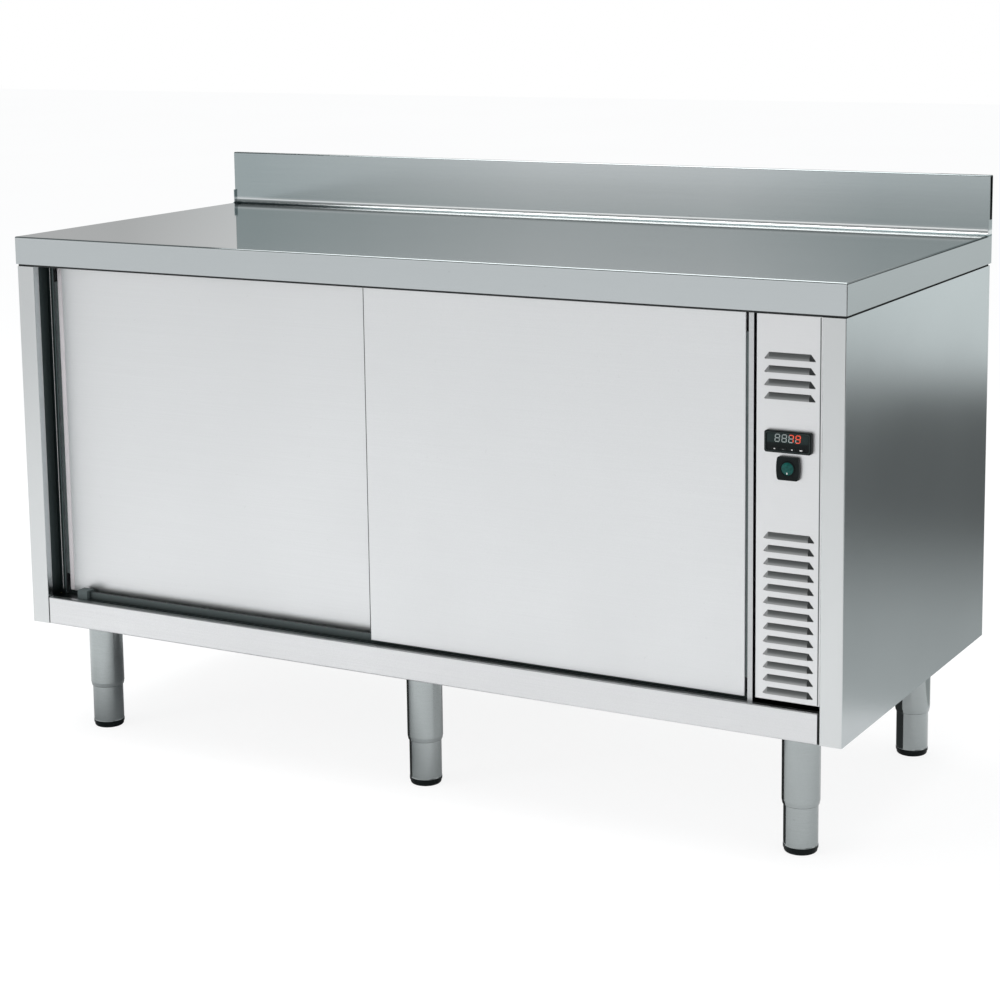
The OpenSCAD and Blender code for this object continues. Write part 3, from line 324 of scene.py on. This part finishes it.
# Plastic: cells of its cloudy tone for each metre, swing of its roughness, depth of its texture in metres
PLASTIC_CLOUD = 60
PLASTIC_SWING = 0.15
TEXTURE_DEPTH = 0.0001
# Lit plastic: cells of its cloudy tone for each metre, gloss, roughness
LAMP_CLOUD = 220
LAMP_GLOSS = 0.2
LAMP_ROUGH = 0.15
# Board and wool: span of the flecks, how much finer strands are along Z, roughness, depth in metres
FLECK_SPAN = (0.0, 0.8)
STRAND_STRETCH = 4
FIBRE_ROUGH = 0.9
FIBRE_DEPTH = 0.001
# Tones of dark, middling and pale places in lit plastic, board and wool
DARK, MID, PALE = 0.6, 0.75, 1.2


def steel(name, colour, rough, grain, tone=0.05, bump=0.06, aniso=0.0, edge=1.0, specks=0.3,
          painted_light=None):
    """Brushed stainless sheet: fine grain lines, cloudy patches, sparkle and a few small marks.
    The edge value dims grazing reflections, and the hook given as the last argument paints light and
    shade into the colour from place to place and may change the roughness."""
    material, tree, bsdf = new_material(name)
    at = spot(tree)
    lines = stretched_noise(tree, at, grain, 3.0)
    cloud = even_noise(tree, at, STEEL_CLOUD, 4.0)
    sparkle = even_noise(tree, at, STEEL_SPARKLE, 1.0)
    marks = even_noise(tree, at, STEEL_MARKS)
    pale, dark, mark = (shade(colour, k) for k in (1 + tone, 1 - tone, MARK_TONE))
    grainy = fit_range(tree, maths(tree, "ADD", lines, sparkle), *GRAIN_SPAN, 0.0, 1.0)
    fine = mix_colour(tree, grainy, dark, pale)
    patchy = mix_colour(tree, fit_range(tree, cloud, *MIDDLE, 0.0, 0.5), fine, dark)
    worn_and_painted = mix_colour(tree, fit_range(tree, marks, *MARK_SPAN, 0.0, specks), patchy, mark)
    dull = fit_range(tree, cloud, *WIDE, *swing(rough, STEEL_SWING))
    if painted_light:
        worn_and_painted, dull = painted_light(tree, at, worn_and_painted, dull)
    tree.links.new(worn_and_painted, bsdf.inputs["Base Color"])
    bsdf.inputs["Metallic"].default_value = 1.0
    bsdf.inputs["Specular Tint"].default_value = (edge, edge, edge, 1.0)
    tree.links.new(dull, bsdf.inputs["Roughness"])
    emboss(tree, bsdf, lines, bump, GRAIN_DEPTH)
    if aniso:
        bsdf.inputs["Anisotropic"].default_value = aniso
        tangent = add(tree, "Tangent", direction_type="RADIAL", axis="Z")
        tree.links.new(tangent.outputs["Tangent"], bsdf.inputs["Tangent"])
    return material


def moulded(name, colour, rough, texture=1800, bump=0.15, gloss=0.5, mottle=0.2):
    """Moulded plastic or rubber: fine spark-eroded texture and slight tone changes."""
    material, tree, bsdf = new_material(name)
    bsdf.inputs["Specular IOR Level"].default_value = gloss
    at = spot(tree)
    cloud = even_noise(tree, at, PLASTIC_CLOUD, 3.0)
    cloudy = fit_range(tree, cloud, *WIDE, 0.0, 1.0)
    tint = mix_colour(tree, cloudy, shade(colour, 1 - mottle), shade(colour, 1 + mottle))
    dull = fit_range(tree, cloud, *WIDE, *swing(rough, PLASTIC_SWING))
    tree.links.new(tint, bsdf.inputs["Base Color"])
    tree.links.new(dull, bsdf.inputs["Roughness"])
    emboss(tree, bsdf, even_noise(tree, at, texture), bump, TEXTURE_DEPTH)
    return material


def lamp_plastic(name, colour, glow):
    """Translucent plastic lit from behind."""
    material, tree, bsdf = new_material(name)
    cloudy = fit_range(tree, even_noise(tree, spot(tree), LAMP_CLOUD), *MIDDLE, 0.0, 1.0)
    tint = mix_colour(tree, cloudy, shade(colour, MID), shade(colour, PALE))
    tree.links.new(tint, bsdf.inputs["Base Color"])
    tree.links.new(tint, bsdf.inputs["Emission Color"])
    bsdf.inputs["Emission Strength"].default_value = glow
    bsdf.inputs["Specular IOR Level"].default_value = LAMP_GLOSS
    bsdf.inputs["Roughness"].default_value = LAMP_ROUGH
    return material


def fibre(name, colour, cells, bump=0.6):
    """Board or mineral wool: flecks of several sizes."""
    material, tree, bsdf = new_material(name)
    at = spot(tree)
    flecks = add(tree, "TexVoronoi", {"Vector": at, "Scale": cells}).outputs["Distance"]
    strands = stretched_noise(tree, at, (cells, cells, STRAND_STRETCH * cells), 4.0)
    dark, mid, pale = (shade(colour, k) for k in (DARK, MID, PALE))
    tone = mix_colour(tree, fit_range(tree, flecks, *FLECK_SPAN, 0.0, 1.0), mid, pale)
    tint = mix_colour(tree, fit_range(tree, strands, *NARROW, 0.0, 0.5), tone, dark)
    tree.links.new(tint, bsdf.inputs["Base Color"])
    bsdf.inputs["Roughness"].default_value = FIBRE_ROUGH
    emboss(tree, bsdf, strands, bump, FIBRE_DEPTH)
    return material


# Grain of sheets brushed along X, of sheets with a short grain, of tubes polished round and of strips
# brushed along Z: cells for each metre along X, Y and Z
ALONG_X = (6, 900, 900)
SHORT_Y = (420, 200, 420)
ROUND = (40, 40, 1400)
ALONG_Z = (900, 900, 6)

MATERIALS = {
    "worktop_steel": steel("worktop_steel", (0.597, 0.632, 0.640), 0.16, ALONG_X, tone=0.03, bump=0.02,
                           edge=0.72, painted_light=worktop_polish_and_painted_light),
    "cabinet_steel": steel("cabinet_steel", (0.70, 0.705, 0.71), 0.30, ALONG_X, aniso=0.4, specks=0.15),
    # Painted shade: the side panels' sides are darker than the front sheets, and only their post faces
    # get the paler colour.
    "shaded_side_steel": steel("shaded_side_steel", (0.545, 0.580, 0.590), 0.22, SHORT_Y,
                        painted_light=painted_light_before(*POST_FACE)),
    "door_steel": steel("door_steel", (0.74, 0.75, 0.755), 0.38, ALONG_X, tone=0.02, bump=0.03,
                        specks=0.08),
    # panel_steel carries the painted shade on the louvres.
    "panel_steel": steel("panel_steel", (0.745, 0.75, 0.755), 0.36, ALONG_X, tone=0.02, bump=0.03,
                         specks=0.08, painted_light=louvre_painted_shade),
    "liner_steel": steel("liner_steel", (0.58, 0.59, 0.595), 0.36, ALONG_X),
    # Painted shade: the floor panel is dark in front of the tracks, and the left jamb is dark at its
    # front.
    "floor_steel": steel("floor_steel", (0.58, 0.59, 0.595), 0.36, ALONG_X,
                         painted_light=painted_light_before(*TRACK_SHADE)),
    "jamb_steel": steel("jamb_steel", (0.58, 0.59, 0.595), 0.36, ALONG_X,
                        painted_light=painted_light_before(*JAMB_SHADE)),
    "leg_steel": steel("leg_steel", (0.39, 0.42, 0.42), 0.13, ROUND, tone=0.06),
    "frame_steel": steel("frame_steel", (0.45, 0.46, 0.47), 0.42, ALONG_X),
    "track_steel": steel("track_steel", (0.11, 0.13, 0.13), 0.45, ALONG_X),
    "trim_steel": steel("trim_steel", (0.66, 0.64, 0.645), 0.25, ALONG_Z, tone=0.03),
    "fan_steel": steel("fan_steel", (0.62, 0.63, 0.64), 0.35, ROUND),
    "heater_sheath": steel("heater_sheath", (0.22, 0.19, 0.17), 0.45, ROUND, tone=0.2),
    "probe_steel": steel("probe_steel", (0.6, 0.6, 0.61), 0.3, ROUND),
    "board": fibre("board", (0.50, 0.37, 0.22), 160),
    "insulation": fibre("insulation", (0.66, 0.58, 0.34), 90, 1.0),
    # stop_rubber is also the black of strips that stand for painted shade in gaps.
    "stop_rubber": moulded("stop_rubber", (0.010, 0.012, 0.012), 0.75, 900),
    "stop_grey": moulded("stop_grey", (0.085, 0.105, 0.105), 0.6, 900),
    "roller_nylon": moulded("roller_nylon", (0.82, 0.82, 0.77), 0.45),
    "black_plastic": moulded("black_plastic", (0.006, 0.009, 0.009), 0.36, gloss=0.12),
    "rim_plastic": moulded("rim_plastic", (0.030, 0.042, 0.040), 0.30, gloss=0.2),
    "key_plastic": moulded("key_plastic", (0.008, 0.010, 0.010), 0.45, gloss=0.15),
    "display": moulded("display", (0.014, 0.024, 0.023), 0.20, 300, 0.02, gloss=0.15),
    "green_lens": lamp_plastic("green_lens", (0.005, 0.070, 0.060), 0.12),
    "digit_off": moulded("digit_off", (0.30, 0.34, 0.33), 0.40),
    "digit_lit": lamp_plastic("digit_lit", (0.72, 0.085, 0.045), 0.45),
    # Pale trim colour, partly a painted highlight on the left door's edge profile.
    "pale_trim_and_highlight": moulded("pale_trim_and_highlight", (0.70, 0.66, 0.67), 0.5, mottle=0.03),
    "mark_white": moulded("mark_white", (0.82, 0.82, 0.80), 0.45),
    "shade_strip_grey": moulded("shade_strip_grey", (0.16, 0.17, 0.17), 0.6, mottle=0.05),
    # Dim grey for printed marks and for painted shade under the leg tubes' step.
    "dim_mark_and_shade": moulded("dim_mark_and_shade", (0.09, 0.10, 0.10), 0.45),
    "motor_paint": moulded("motor_paint", (0.06, 0.06, 0.065), 0.45, 700),
    "terminal_plastic": moulded("terminal_plastic", (0.70, 0.67, 0.58), 0.5),
}
# Nodes whose look differs from the rest of their slot
OWN_LOOK = {"left_side_panel": "shaded_side_steel", "right_side_panel": "shaded_side_steel",
            "floor_panel": "floor_steel", "left_liner": "jamb_steel", "control_panel": "panel_steel",
            "door_stops": "stop_grey"}


def dress_nodes():
    """Gives each node of the frame its own material or that of its slot."""
    for part in frame["record"]["subparts"]:
        name = OWN_LOOK.get(part["node"], part["material_slot"])
        slots = nodes[part["node"]].data.materials
        slots.clear()
        slots.append(MATERIALS[name])


def make_world():
    """White for the camera, a room with a dark ceiling for the metal's reflections, softer light for the
    rest."""
    world = bpy.data.worlds.new("studio")
    world.use_nodes = True
    tree = world.node_tree
    x, y, z = apart(tree, add(tree, "TexCoord").outputs["Generated"])
    dim = maths(tree, "MULTIPLY", fit_range(tree, x, *LEFT_DIM), fit_range(tree, y, *BACK_DIM))
    room = mix_colour(tree, dim, tone_ramp(tree, z, CEILING_TONES), BLACK)
    path = add(tree, "LightPath").outputs
    lit = mix_colour(tree, path["Is Glossy Ray"], AMBIENT, room)
    shown = maths(tree, "MAXIMUM", path["Is Camera Ray"], path["Is Transmission Ray"])
    tree.links.new(mix_colour(tree, shown, lit, WHITE), tree.nodes["Background"].inputs["Color"])
    scene.world = world


def stage_piece(name, corners, faces, material):
    """Flat or folded piece of the studio."""
    mesh = bpy.data.meshes.new(name)
    mesh.from_pydata(corners, [], faces)
    mesh.materials.append(material)
    piece = bpy.data.objects.new(name, mesh)
    scene.collection.objects.link(piece)
    return piece


def make_floor():
    """Pale floor that stays white around the object and keeps its shadow; in reflections it shows a
    painted shadow under the cabinet.
    """
    material, tree, bsdf = new_material("floor")
    tree.nodes.remove(bsdf)
    tint = even_noise(tree, spot(tree), FLOOR_CELLS)
    tone = mix_colour(tree, fit_range(tree, tint, *WIDE, 0.0, 1.0), *FLOOR_TONES)
    matt = add(tree, "BsdfDiffuse", {"Color": tone})
    # Painted shadow under the cabinet: the floor's glow in reflections dims inside the patch.
    offset = vector_maths(tree, "ABSOLUTE", vector_maths(tree, "SUBTRACT", spot(tree), PATCH_AT))
    beyond = vector_maths(tree, "SUBTRACT", offset, PATCH_HALF)
    outside = vector_maths(tree, "MAXIMUM", beyond, (0.0, 0.0, 0.0))
    away = vector_maths(tree, "LENGTH", outside, result="Value")
    path = add(tree, "LightPath").outputs
    direct = maths(tree, "MULTIPLY", path["Is Camera Ray"], CAMERA_SHARE)
    share = maths(tree, "MULTIPLY_ADD", path["Is Glossy Ray"], MIRROR_SHARE, direct)
    mirrored = fit_range(tree, away, 0.0, PATCH_EDGE, PATCH_GLOW, FLOOR_GLOW)
    level = maths(tree, "MULTIPLY", path["Is Camera Ray"], FLOOR_GLOW)
    strength = maths(tree, "MAXIMUM", mirrored, level)
    glow = add(tree, "Emission", {"Color": (*WHITE, 1.0), "Strength": strength})
    mixed = add(tree, "MixShader", {0: share, 1: matt.outputs[0], 2: glow.outputs[0]})
    tree.links.new(mixed.outputs[0], tree.nodes["Material Output"].inputs["Surface"])
    h = FLOOR_SIDE / 2
    corners = [(-h, -h, 0), (h, -h, 0), (h, h, 0), (-h, h, 0)]
    stage_piece("floor", corners, [(0, 1, 2, 3)], material)


def mirrored_card(name, corners, faces, place, tones):
    """Glowing card that only reflections show. Its tone follows a place worked out from the shaded
    point."""
    material, tree, bsdf = new_material(name)
    tree.nodes.remove(bsdf)
    glow = add(tree, "Emission", {"Color": tone_ramp(tree, place(tree), tones), "Strength": 1.0})
    tree.links.new(glow.outputs[0], tree.nodes["Material Output"].inputs["Surface"])
    card = stage_piece(name, corners, faces, material)
    for kind in ("camera", "diffuse", "shadow", "transmission"):
        setattr(card, "visible_" + kind, False)


def make_card():
    """Dark card behind to the right, upright and along the floor, for the side panel."""
    def along_card(tree):
        way = CARD_FACING + Vector((0, 0, 1))
        across = vector_maths(tree, "DOT_PRODUCT", spot(tree), way, result="Value")
        foot = CARD_AT.dot(CARD_FACING)
        return fit_range(tree, across, foot - CARD_REACH, foot + CARD_H, 0.0, 1.0)

    along = Vector((CARD_FACING.y, -CARD_FACING.x, 0)) * CARD_W / 2
    low = CARD_AT + Vector((0, 0, CARD_LIFT))
    high = low + Vector((0, 0, CARD_H))
    near = low - CARD_FACING * CARD_REACH
    corners = [near - along, near + along, low + along, low - along, high + along, high - along]
    mirrored_card("card", corners, [(0, 1, 2, 3), (3, 2, 4, 5)], along_card, CARD_TONES)


def make_flag(name, places, heights, tones):
    """Upright card through places on the floor, from a lower to an upper height, with a tone by
    height."""
    def risen(tree):
        return fit_range(tree, apart(tree, spot(tree))[2], *heights, 0.0, 1.0)

    corners = [(x, y, z) for x, y in places for z in heights]
    faces = [(2 * i, 2 * i + 2, 2 * i + 3, 2 * i + 1) for i in range(len(places) - 1)]
    mirrored_card(name, corners, faces, risen, tones)


def make_leg_flags():
    """Dark cards round the left of three legs, for the dark edge that the tubes mirror there."""
    for place, turns in LEG_FLAGS.items():
        low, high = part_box("foot_" + place)
        middle = (low + high) / 2
        ways = [Vector((math.cos(a), math.sin(a), 0)) for a in map(math.radians, turns)]
        places = [(middle + LEG_FLAG_AWAY * way)[:2] for way in ways]
        make_flag("flag_" + place, places, LEG_FLAG_HEIGHTS, LEG_FLAG_TONES)


def make_light(name, at, target, size, power, mirrored):
    """Soft box at a place, pointed at a target. The metal shows it only where mirrored is set."""
    data = bpy.data.lights.new(name, "AREA")
    data.shape = "RECTANGLE"
    data.size, data.size_y = size
    data.energy = power
    light = bpy.data.objects.new(name, data)
    light.location = at
    light.rotation_euler = (Vector(target) - Vector(at)).to_track_quat("-Z", "Y").to_euler()
    light.visible_glossy = mirrored
    scene.collection.objects.link(light)


# Corners of a rectangle: side along X, side along Y, heading at which the round corner starts
CORNERS = ((1, 1, 0), (-1, 1, 90), (-1, -1, 180), (1, -1, 270))
# Steps of a full turn in turned pieces
TURN_STEPS = 48
# Front edge of a plate on a face: where it starts between back and front, and how far it is drawn in
PLATE_EDGE = 0.7
PLATE_DRAW = 0.08


def box_mm(node):
    """Lowest and highest corner of a node's box in millimetres."""
    return [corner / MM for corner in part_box(node)]


def rounded(width, height, radius, steps=4):
    """Outline of a rectangle with round corners, centred on the origin, in order."""
    points = []
    for sx, sy, start in CORNERS:
        for i in range(steps + 1):
            angle = math.radians(start + 90 * i / steps)
            points.append((sx * (width / 2 - radius) + radius * math.cos(angle),
                           sy * (height / 2 - radius) + radius * math.sin(angle)))
    return points


def moved(outline, x, y):
    """Outline at another place."""
    return [(x + u, y + v) for u, v in outline]


def skin(name, rings, material, body, closed=False):
    """Mesh skin through rings of equally many points in millimetres, which rides on a body.
    A closed skin joins its last ring to its first, and an open one gets a cap at each end."""
    count, size = len(rings), len(rings[0])
    verts = [Vector(p) * MM for ring in rings for p in ring]
    faces = []
    for k in range(count if closed else count - 1):
        after = (k + 1) % count
        for i in range(size):
            j = (i + 1) % size
            faces.append((k * size + i, k * size + j, after * size + j, after * size + i))
    if not closed:
        faces.append(tuple(range(size)))
        faces.append(tuple(range((count - 1) * size, count * size)))
    mesh = bpy.data.meshes.new(name)
    mesh.from_pydata(verts, [], faces)
    work = bmesh.new()
    work.from_mesh(mesh)
    bmesh.ops.recalc_face_normals(work, faces=work.faces)
    work.to_mesh(mesh)
    work.free()
    mesh.materials.append(MATERIALS[material])
    piece = bpy.data.objects.new(name, mesh)
    scene.collection.objects.link(piece)
    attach(piece, body)


def face_rings(outline, bands):
    """Rings on a face that looks towards -Y: the outline in (X, Z) is scaled about its middle for each
    band, given as its share in X, its share in Z and its Y."""
    mx, mz = (sum(p[i] for p in outline) / len(outline) for i in (0, 1))
    return [[(mx + kx * (x - mx), y, mz + kz * (z - mz)) for x, z in outline] for kx, kz, y in bands]


def face_plate(name, outline, back, front, material, body):
    """Thin plate on a face that looks towards -Y, from its back to its front in Y, with its front edge
    drawn in a little."""
    edge = (1 - PLATE_EDGE) * back + PLATE_EDGE * front
    drawn = 1 - PLATE_DRAW
    skin(name, face_rings(outline, ((1, 1, back), (1, 1, edge), (drawn, drawn, front))), material, body)


def face_ring(name, outline, bands, material):
    """Ring on a face of the cabinet that looks towards -Y, with bands as in face_rings."""
    skin(name, face_rings(outline, bands), material, "cabinet", closed=True)


def turned(name, section, at, radius, start, material, body):
    """Ring turned about a vertical axis at a place in (X, Y). Its closed section is given as the distance
    outside a radius and the height above a start."""
    rings = []
    for i in range(TURN_STEPS):
        angle = 2 * math.pi * i / TURN_STEPS
        rings.append([(at[0] + (radius + r) * math.cos(angle), at[1] + (radius + r) * math.sin(angle),
                       start + z) for r, z in section])
    skin(name, rings, material, body, closed=True)


# Gap between the bottom rail and the posts, and height that the end stop takes up at a door's lower edge,
# in millimetres
RAIL_GAP = 3.0
STOP_RISE = 10.5
# Upright strips in millimetres, both trim and strips that stand for painted shade in gaps: their middle
# from a corner in X and Y, section, radius of its corners, material and body
STRIPS = {
    # Black strip standing for painted shade at the join of the two doors.
    "right_door_edge_shade": ((-0.8, 6.0), (1.7, 8.0), 0.5, "stop_rubber", "right_door"),
    # Pale edge profile on the left door: a real profile, its pale matt colour partly a painted highlight.
    "left_door_edge": ((6.0, -0.1), (9.0, 1.6), 0.6, "pale_trim_and_highlight", "left_door"),
    "jamb_bead": ((-6.5, -4.6), (1.4, 1.4), 0.6, "trim_steel", "cabinet"),
    # Black strips standing for painted shade in the gaps beside the rail.
    "rail_shade_left": ((-RAIL_GAP / 2, 4.5), (RAIL_GAP - 0.3, 6.0), 0.5, "stop_rubber", "cabinet"),
    "rail_shade_right": ((RAIL_GAP / 2, 4.5), (RAIL_GAP - 0.3, 6.0), 0.5, "stop_rubber", "cabinet"),
    # Grey strip standing for painted shade in the gap beside the control panel.
    "panel_shade_strip": ((-5.4, -0.3), (1.6, 0.9), 0.3, "shade_strip_grey", "cabinet"),
}


def upright_strip(name, corner, z):
    """Rounded trim strip that stands along Z beside a corner in (X, Y)."""
    offset, size, radius, material, body = STRIPS[name]
    outline = moved(rounded(*size, radius), corner[0] + offset[0], corner[1] + offset[1])
    skin(name, [[(x, y, height) for x, y in outline] for height in z], material, body)


def add_gap_shade_strip():
    """Black strip all round in the shadow gap between the cabinet and the worktop, painted shade of that
    gap.
    """
    side, depth = 796.0, 346.0
    low, high = 876.1, 879.9
    thick, radius = 3.0, 0.8
    section = moved(rounded(thick, high - low, radius), -thick / 2, (low + high) / 2)
    rings = [[(sx * (side + u), sy * (depth + u), z) for u, z in section]
             for sx, sy in ((-1, 1), (-1, -1), (1, -1), (1, 1))]
    skin("gap_shade_strip", rings, "stop_rubber", "cabinet", closed=True)


def add_door_edges():
    """Black strip on the right door's edge, painted shade at the join of the doors; pale edge profile on
    the left door, a real profile whose pale colour is partly a painted highlight; and the bead on its
    jamb.
    """
    low, high = box_mm("right_door_outer")
    z = (low.z + 1, high.z - 1)
    upright_strip("right_door_edge_shade", low, (z[0] + STOP_RISE, z[1]))
    corner = box_mm("left_door_outer")[0]
    upright_strip("left_door_edge", corner, z)
    upright_strip("jamb_bead", (box_mm("left_liner")[1].x, corner.y), z)


def add_rail_shade_strips():
    """Black strip in the gap between the bottom rail and the post at each end, painted shade of that gap.
    """
    low, high = box_mm("bottom_rail")
    for side, x in (("left", low.x), ("right", high.x)):
        upright_strip("rail_shade_" + side, (x, low.y), (low.z + 0.5, high.z - 0.5))


def add_panel_shade_strip():
    """Thin grey strip between the control panel and the post beside it, painted shade of the gap there.
    """
    low, high = box_mm("control_panel")
    upright_strip("panel_shade_strip", (high.x, PANEL_FACE), (low.z + 1, high.z - 1))


# Segments of a digit: middle in shares of its width and height, and whether it lies or stands
SEGMENTS = {"a": (0.5, 1.0, True), "b": (1.0, 0.75, False), "c": (1.0, 0.25, False),
            "d": (0.5, 0.0, True), "e": (0.0, 0.25, False), "f": (0.0, 0.75, False),
            "g": (0.5, 0.5, True)}
# Lit segments of the four digits
LIT = ("", "", "abc", "abcdfg")
# Digits in millimetres: size, thickness of a segment, gap at its ends, pitch, place of the first one, and
# how far they lean for each millimetre of height
DIGIT_W, DIGIT_H = 7.0, 11.2
BAR = 1.5
BAR_GAP = 0.25
DIGIT_PITCH = 11.2
DIGIT_START = 13.0
SLANT = 0.09
# Plates in millimetres: how far they are sunk into their face, how far digits and marks stand out of it
SUNK = 0.02
DIGIT_OUT = 0.2
MARK_OUT = 0.12


def add_digits():
    """Four digits of seven segments on the display window, the last two of them lit."""
    low, high = box_mm("controller_window")
    z0 = (low.z + high.z - DIGIT_H) / 2
    for k, lit in enumerate(LIT):
        x0 = low.x + DIGIT_START + k * DIGIT_PITCH
        for name, (sx, sz, lying) in SEGMENTS.items():
            end = (DIGIT_W if lying else DIGIT_H / 2) / 2 - BAR_GAP
            side = BAR / 2
            hexagon = [(-end, 0), (side - end, side), (end - side, side), (end, 0), (end - side, -side),
                       (side - end, -side)]
            outline = []
            for u, v in hexagon:
                dx, dz = (u, v) if lying else (v, u)
                z = sz * DIGIT_H + dz
                outline.append((x0 + sx * DIGIT_W + dx + SLANT * z, z0 + z))
            look = "digit_lit" if name in lit else "digit_off"
            face_plate(f"digit_{k + 1}_{name}", outline, low.y + SUNK, low.y - DIGIT_OUT, look, "cabinet")


# Controller in millimetres: corner radius, and the steps of its frame and rim line as the distance inside
# its outline and the height over its face
CASE_RADIUS = 4.0
FRAME_STEPS = ((0.4, 0.0), (0.6, 0.5), (2.2, 1.2), (2.9, 1.2), (2.9, 0.0))
RIM_STEPS = ((2.0, 1.15), (2.1, 1.32), (2.8, 1.32), (2.9, 1.15))


def add_controller_trim():
    """Raised frame round the controller's face and the rim line inside it."""
    low, high = box_mm("controller_case")
    w, h = high.x - low.x, high.z - low.z
    outline = moved(rounded(w, h, CASE_RADIUS), (low.x + high.x) / 2, (low.z + high.z) / 2)
    for name, steps, look in (("controller_frame", FRAME_STEPS, "black_plastic"),
                              ("controller_rim", RIM_STEPS, "rim_plastic")):
        bands = [(1 - 2 * inset / w, 1 - 2 * inset / h, low.y - out) for inset, out in steps]
        face_ring(name, outline, bands, look)


# Marks on the keys: outline in millimetres about the key's middle, and material
KEY_MARKS = {1: ([(1.5, 1.0), (1.5, -1.0), (-1.5, 0.0)], "mark_white"),
             2: (rounded(3.6, 1.0, 0.45), "dim_mark_and_shade"),
             3: (rounded(2.0, 2.0, 0.98, 6), "mark_white"),
             4: (rounded(4.4, 1.5, 0.6), "mark_white")}


def add_key_marks():
    """Small printed marks on the four keys: triangle, short bar, dot and dash."""
    for i, (mark, look) in KEY_MARKS.items():
        key = f"controller_key_{i}"
        low, high = box_mm(key)
        outline = moved(mark, (low.x + high.x) / 2, (low.z + high.z) / 2)
        face_plate(f"key_mark_{i}", outline, low.y + SUNK, low.y - MARK_OUT, look, key)


# Main switch in millimetres: steps of the ring as the distance outside the lens and the height over the
# housing, then the dash on the lens by its size and corner radius, its place in shares of the lens's
# radius, and its back and front behind the lens's foremost point
RING_STEPS = ((0.5, -0.1), (0.6, 1.0), (1.2, 1.3), (2.0, 1.0), (2.4, -0.1))
DASH = (1.6, 3.6, 0.75)
DASH_AT = -0.66
DASH_BACK, DASH_FRONT = 1.6, 0.7


def add_switch_trim():
    """Ring round the lit button and the white dash on its lens."""
    low, high = box_mm("power_button")
    x, z, r = (low.x + high.x) / 2, (low.z + high.z) / 2, (high.z - low.z) / 2
    face = box_mm("switch_housing")[0].y
    turns = [2 * math.pi * i / TURN_STEPS for i in range(TURN_STEPS)]
    circle = [(x + r * math.cos(a), z + r * math.sin(a)) for a in turns]
    bands = [(1 + away / r, 1 + away / r, face - out) for away, out in RING_STEPS]
    face_ring("lens_ring", circle, bands, "black_plastic")
    dash = moved(rounded(*DASH), x, z + DASH_AT * r)
    face_plate("lens_dash", dash, low.y + DASH_BACK, low.y + DASH_FRONT, "mark_white", "power_button")


# Places of the legs, and sections of their trim in millimetres: distance outside the foot's side, and
# height above the lower end of the foot, or for the dark line of painted shade above that of the upper
# tube
LEGS = ("front_left", "front_middle", "front_right", "rear_left", "rear_middle", "rear_right")
FOOT_SKIRT = ((-0.6, -0.4), (0.35, -0.4), (0.45, 3.5), (0.3, 4.0), (-0.6, 4.0))
FOOT_LIP = ((-0.6, 4.0), (0.15, 4.0), (0.4, 4.7), (0.1, 5.6), (-0.6, 5.6))
TUBE_SHADE_LINE = ((0.1, -0.9), (0.6, -0.9), (0.6, 0.0), (0.1, 0.0))


def add_leg_trim():
    """Black skirt of the cap and pale lip on each foot, dark line under the upper tube as painted shade
    of its step.
    """
    tube_end = box_mm("leg_tubes")[0].z
    for place in LEGS:
        foot = "foot_" + place
        low, high = box_mm(foot)
        at = ((low.x + high.x) / 2, (low.y + high.y) / 2)
        r = (high.x - low.x) / 2
        turned("foot_skirt_" + place, FOOT_SKIRT, at, r, low.z, "black_plastic", foot)
        turned("foot_lip_" + place, FOOT_LIP, at, r, low.z, "leg_steel", foot)
        # Dark ring standing for painted shade under the step of the upper tube.
        turned("tube_shade_line_" + place, TUBE_SHADE_LINE, at, r, tube_end, "dim_mark_and_shade", "cabinet")


make_camera()
make_world()
make_floor()
make_card()
make_flag("right_flag", RIGHT_FLAG, RIGHT_HEIGHTS, RIGHT_TONES)
make_leg_flags()
for light_name, light in LIGHTS.items():
    make_light(light_name, *light)
dress_nodes()
add_gap_shade_strip()
add_door_edges()
add_rail_shade_strips()
add_panel_shade_strip()
add_digits()
add_controller_trim()
add_key_marks()
add_switch_trim()
add_leg_trim()
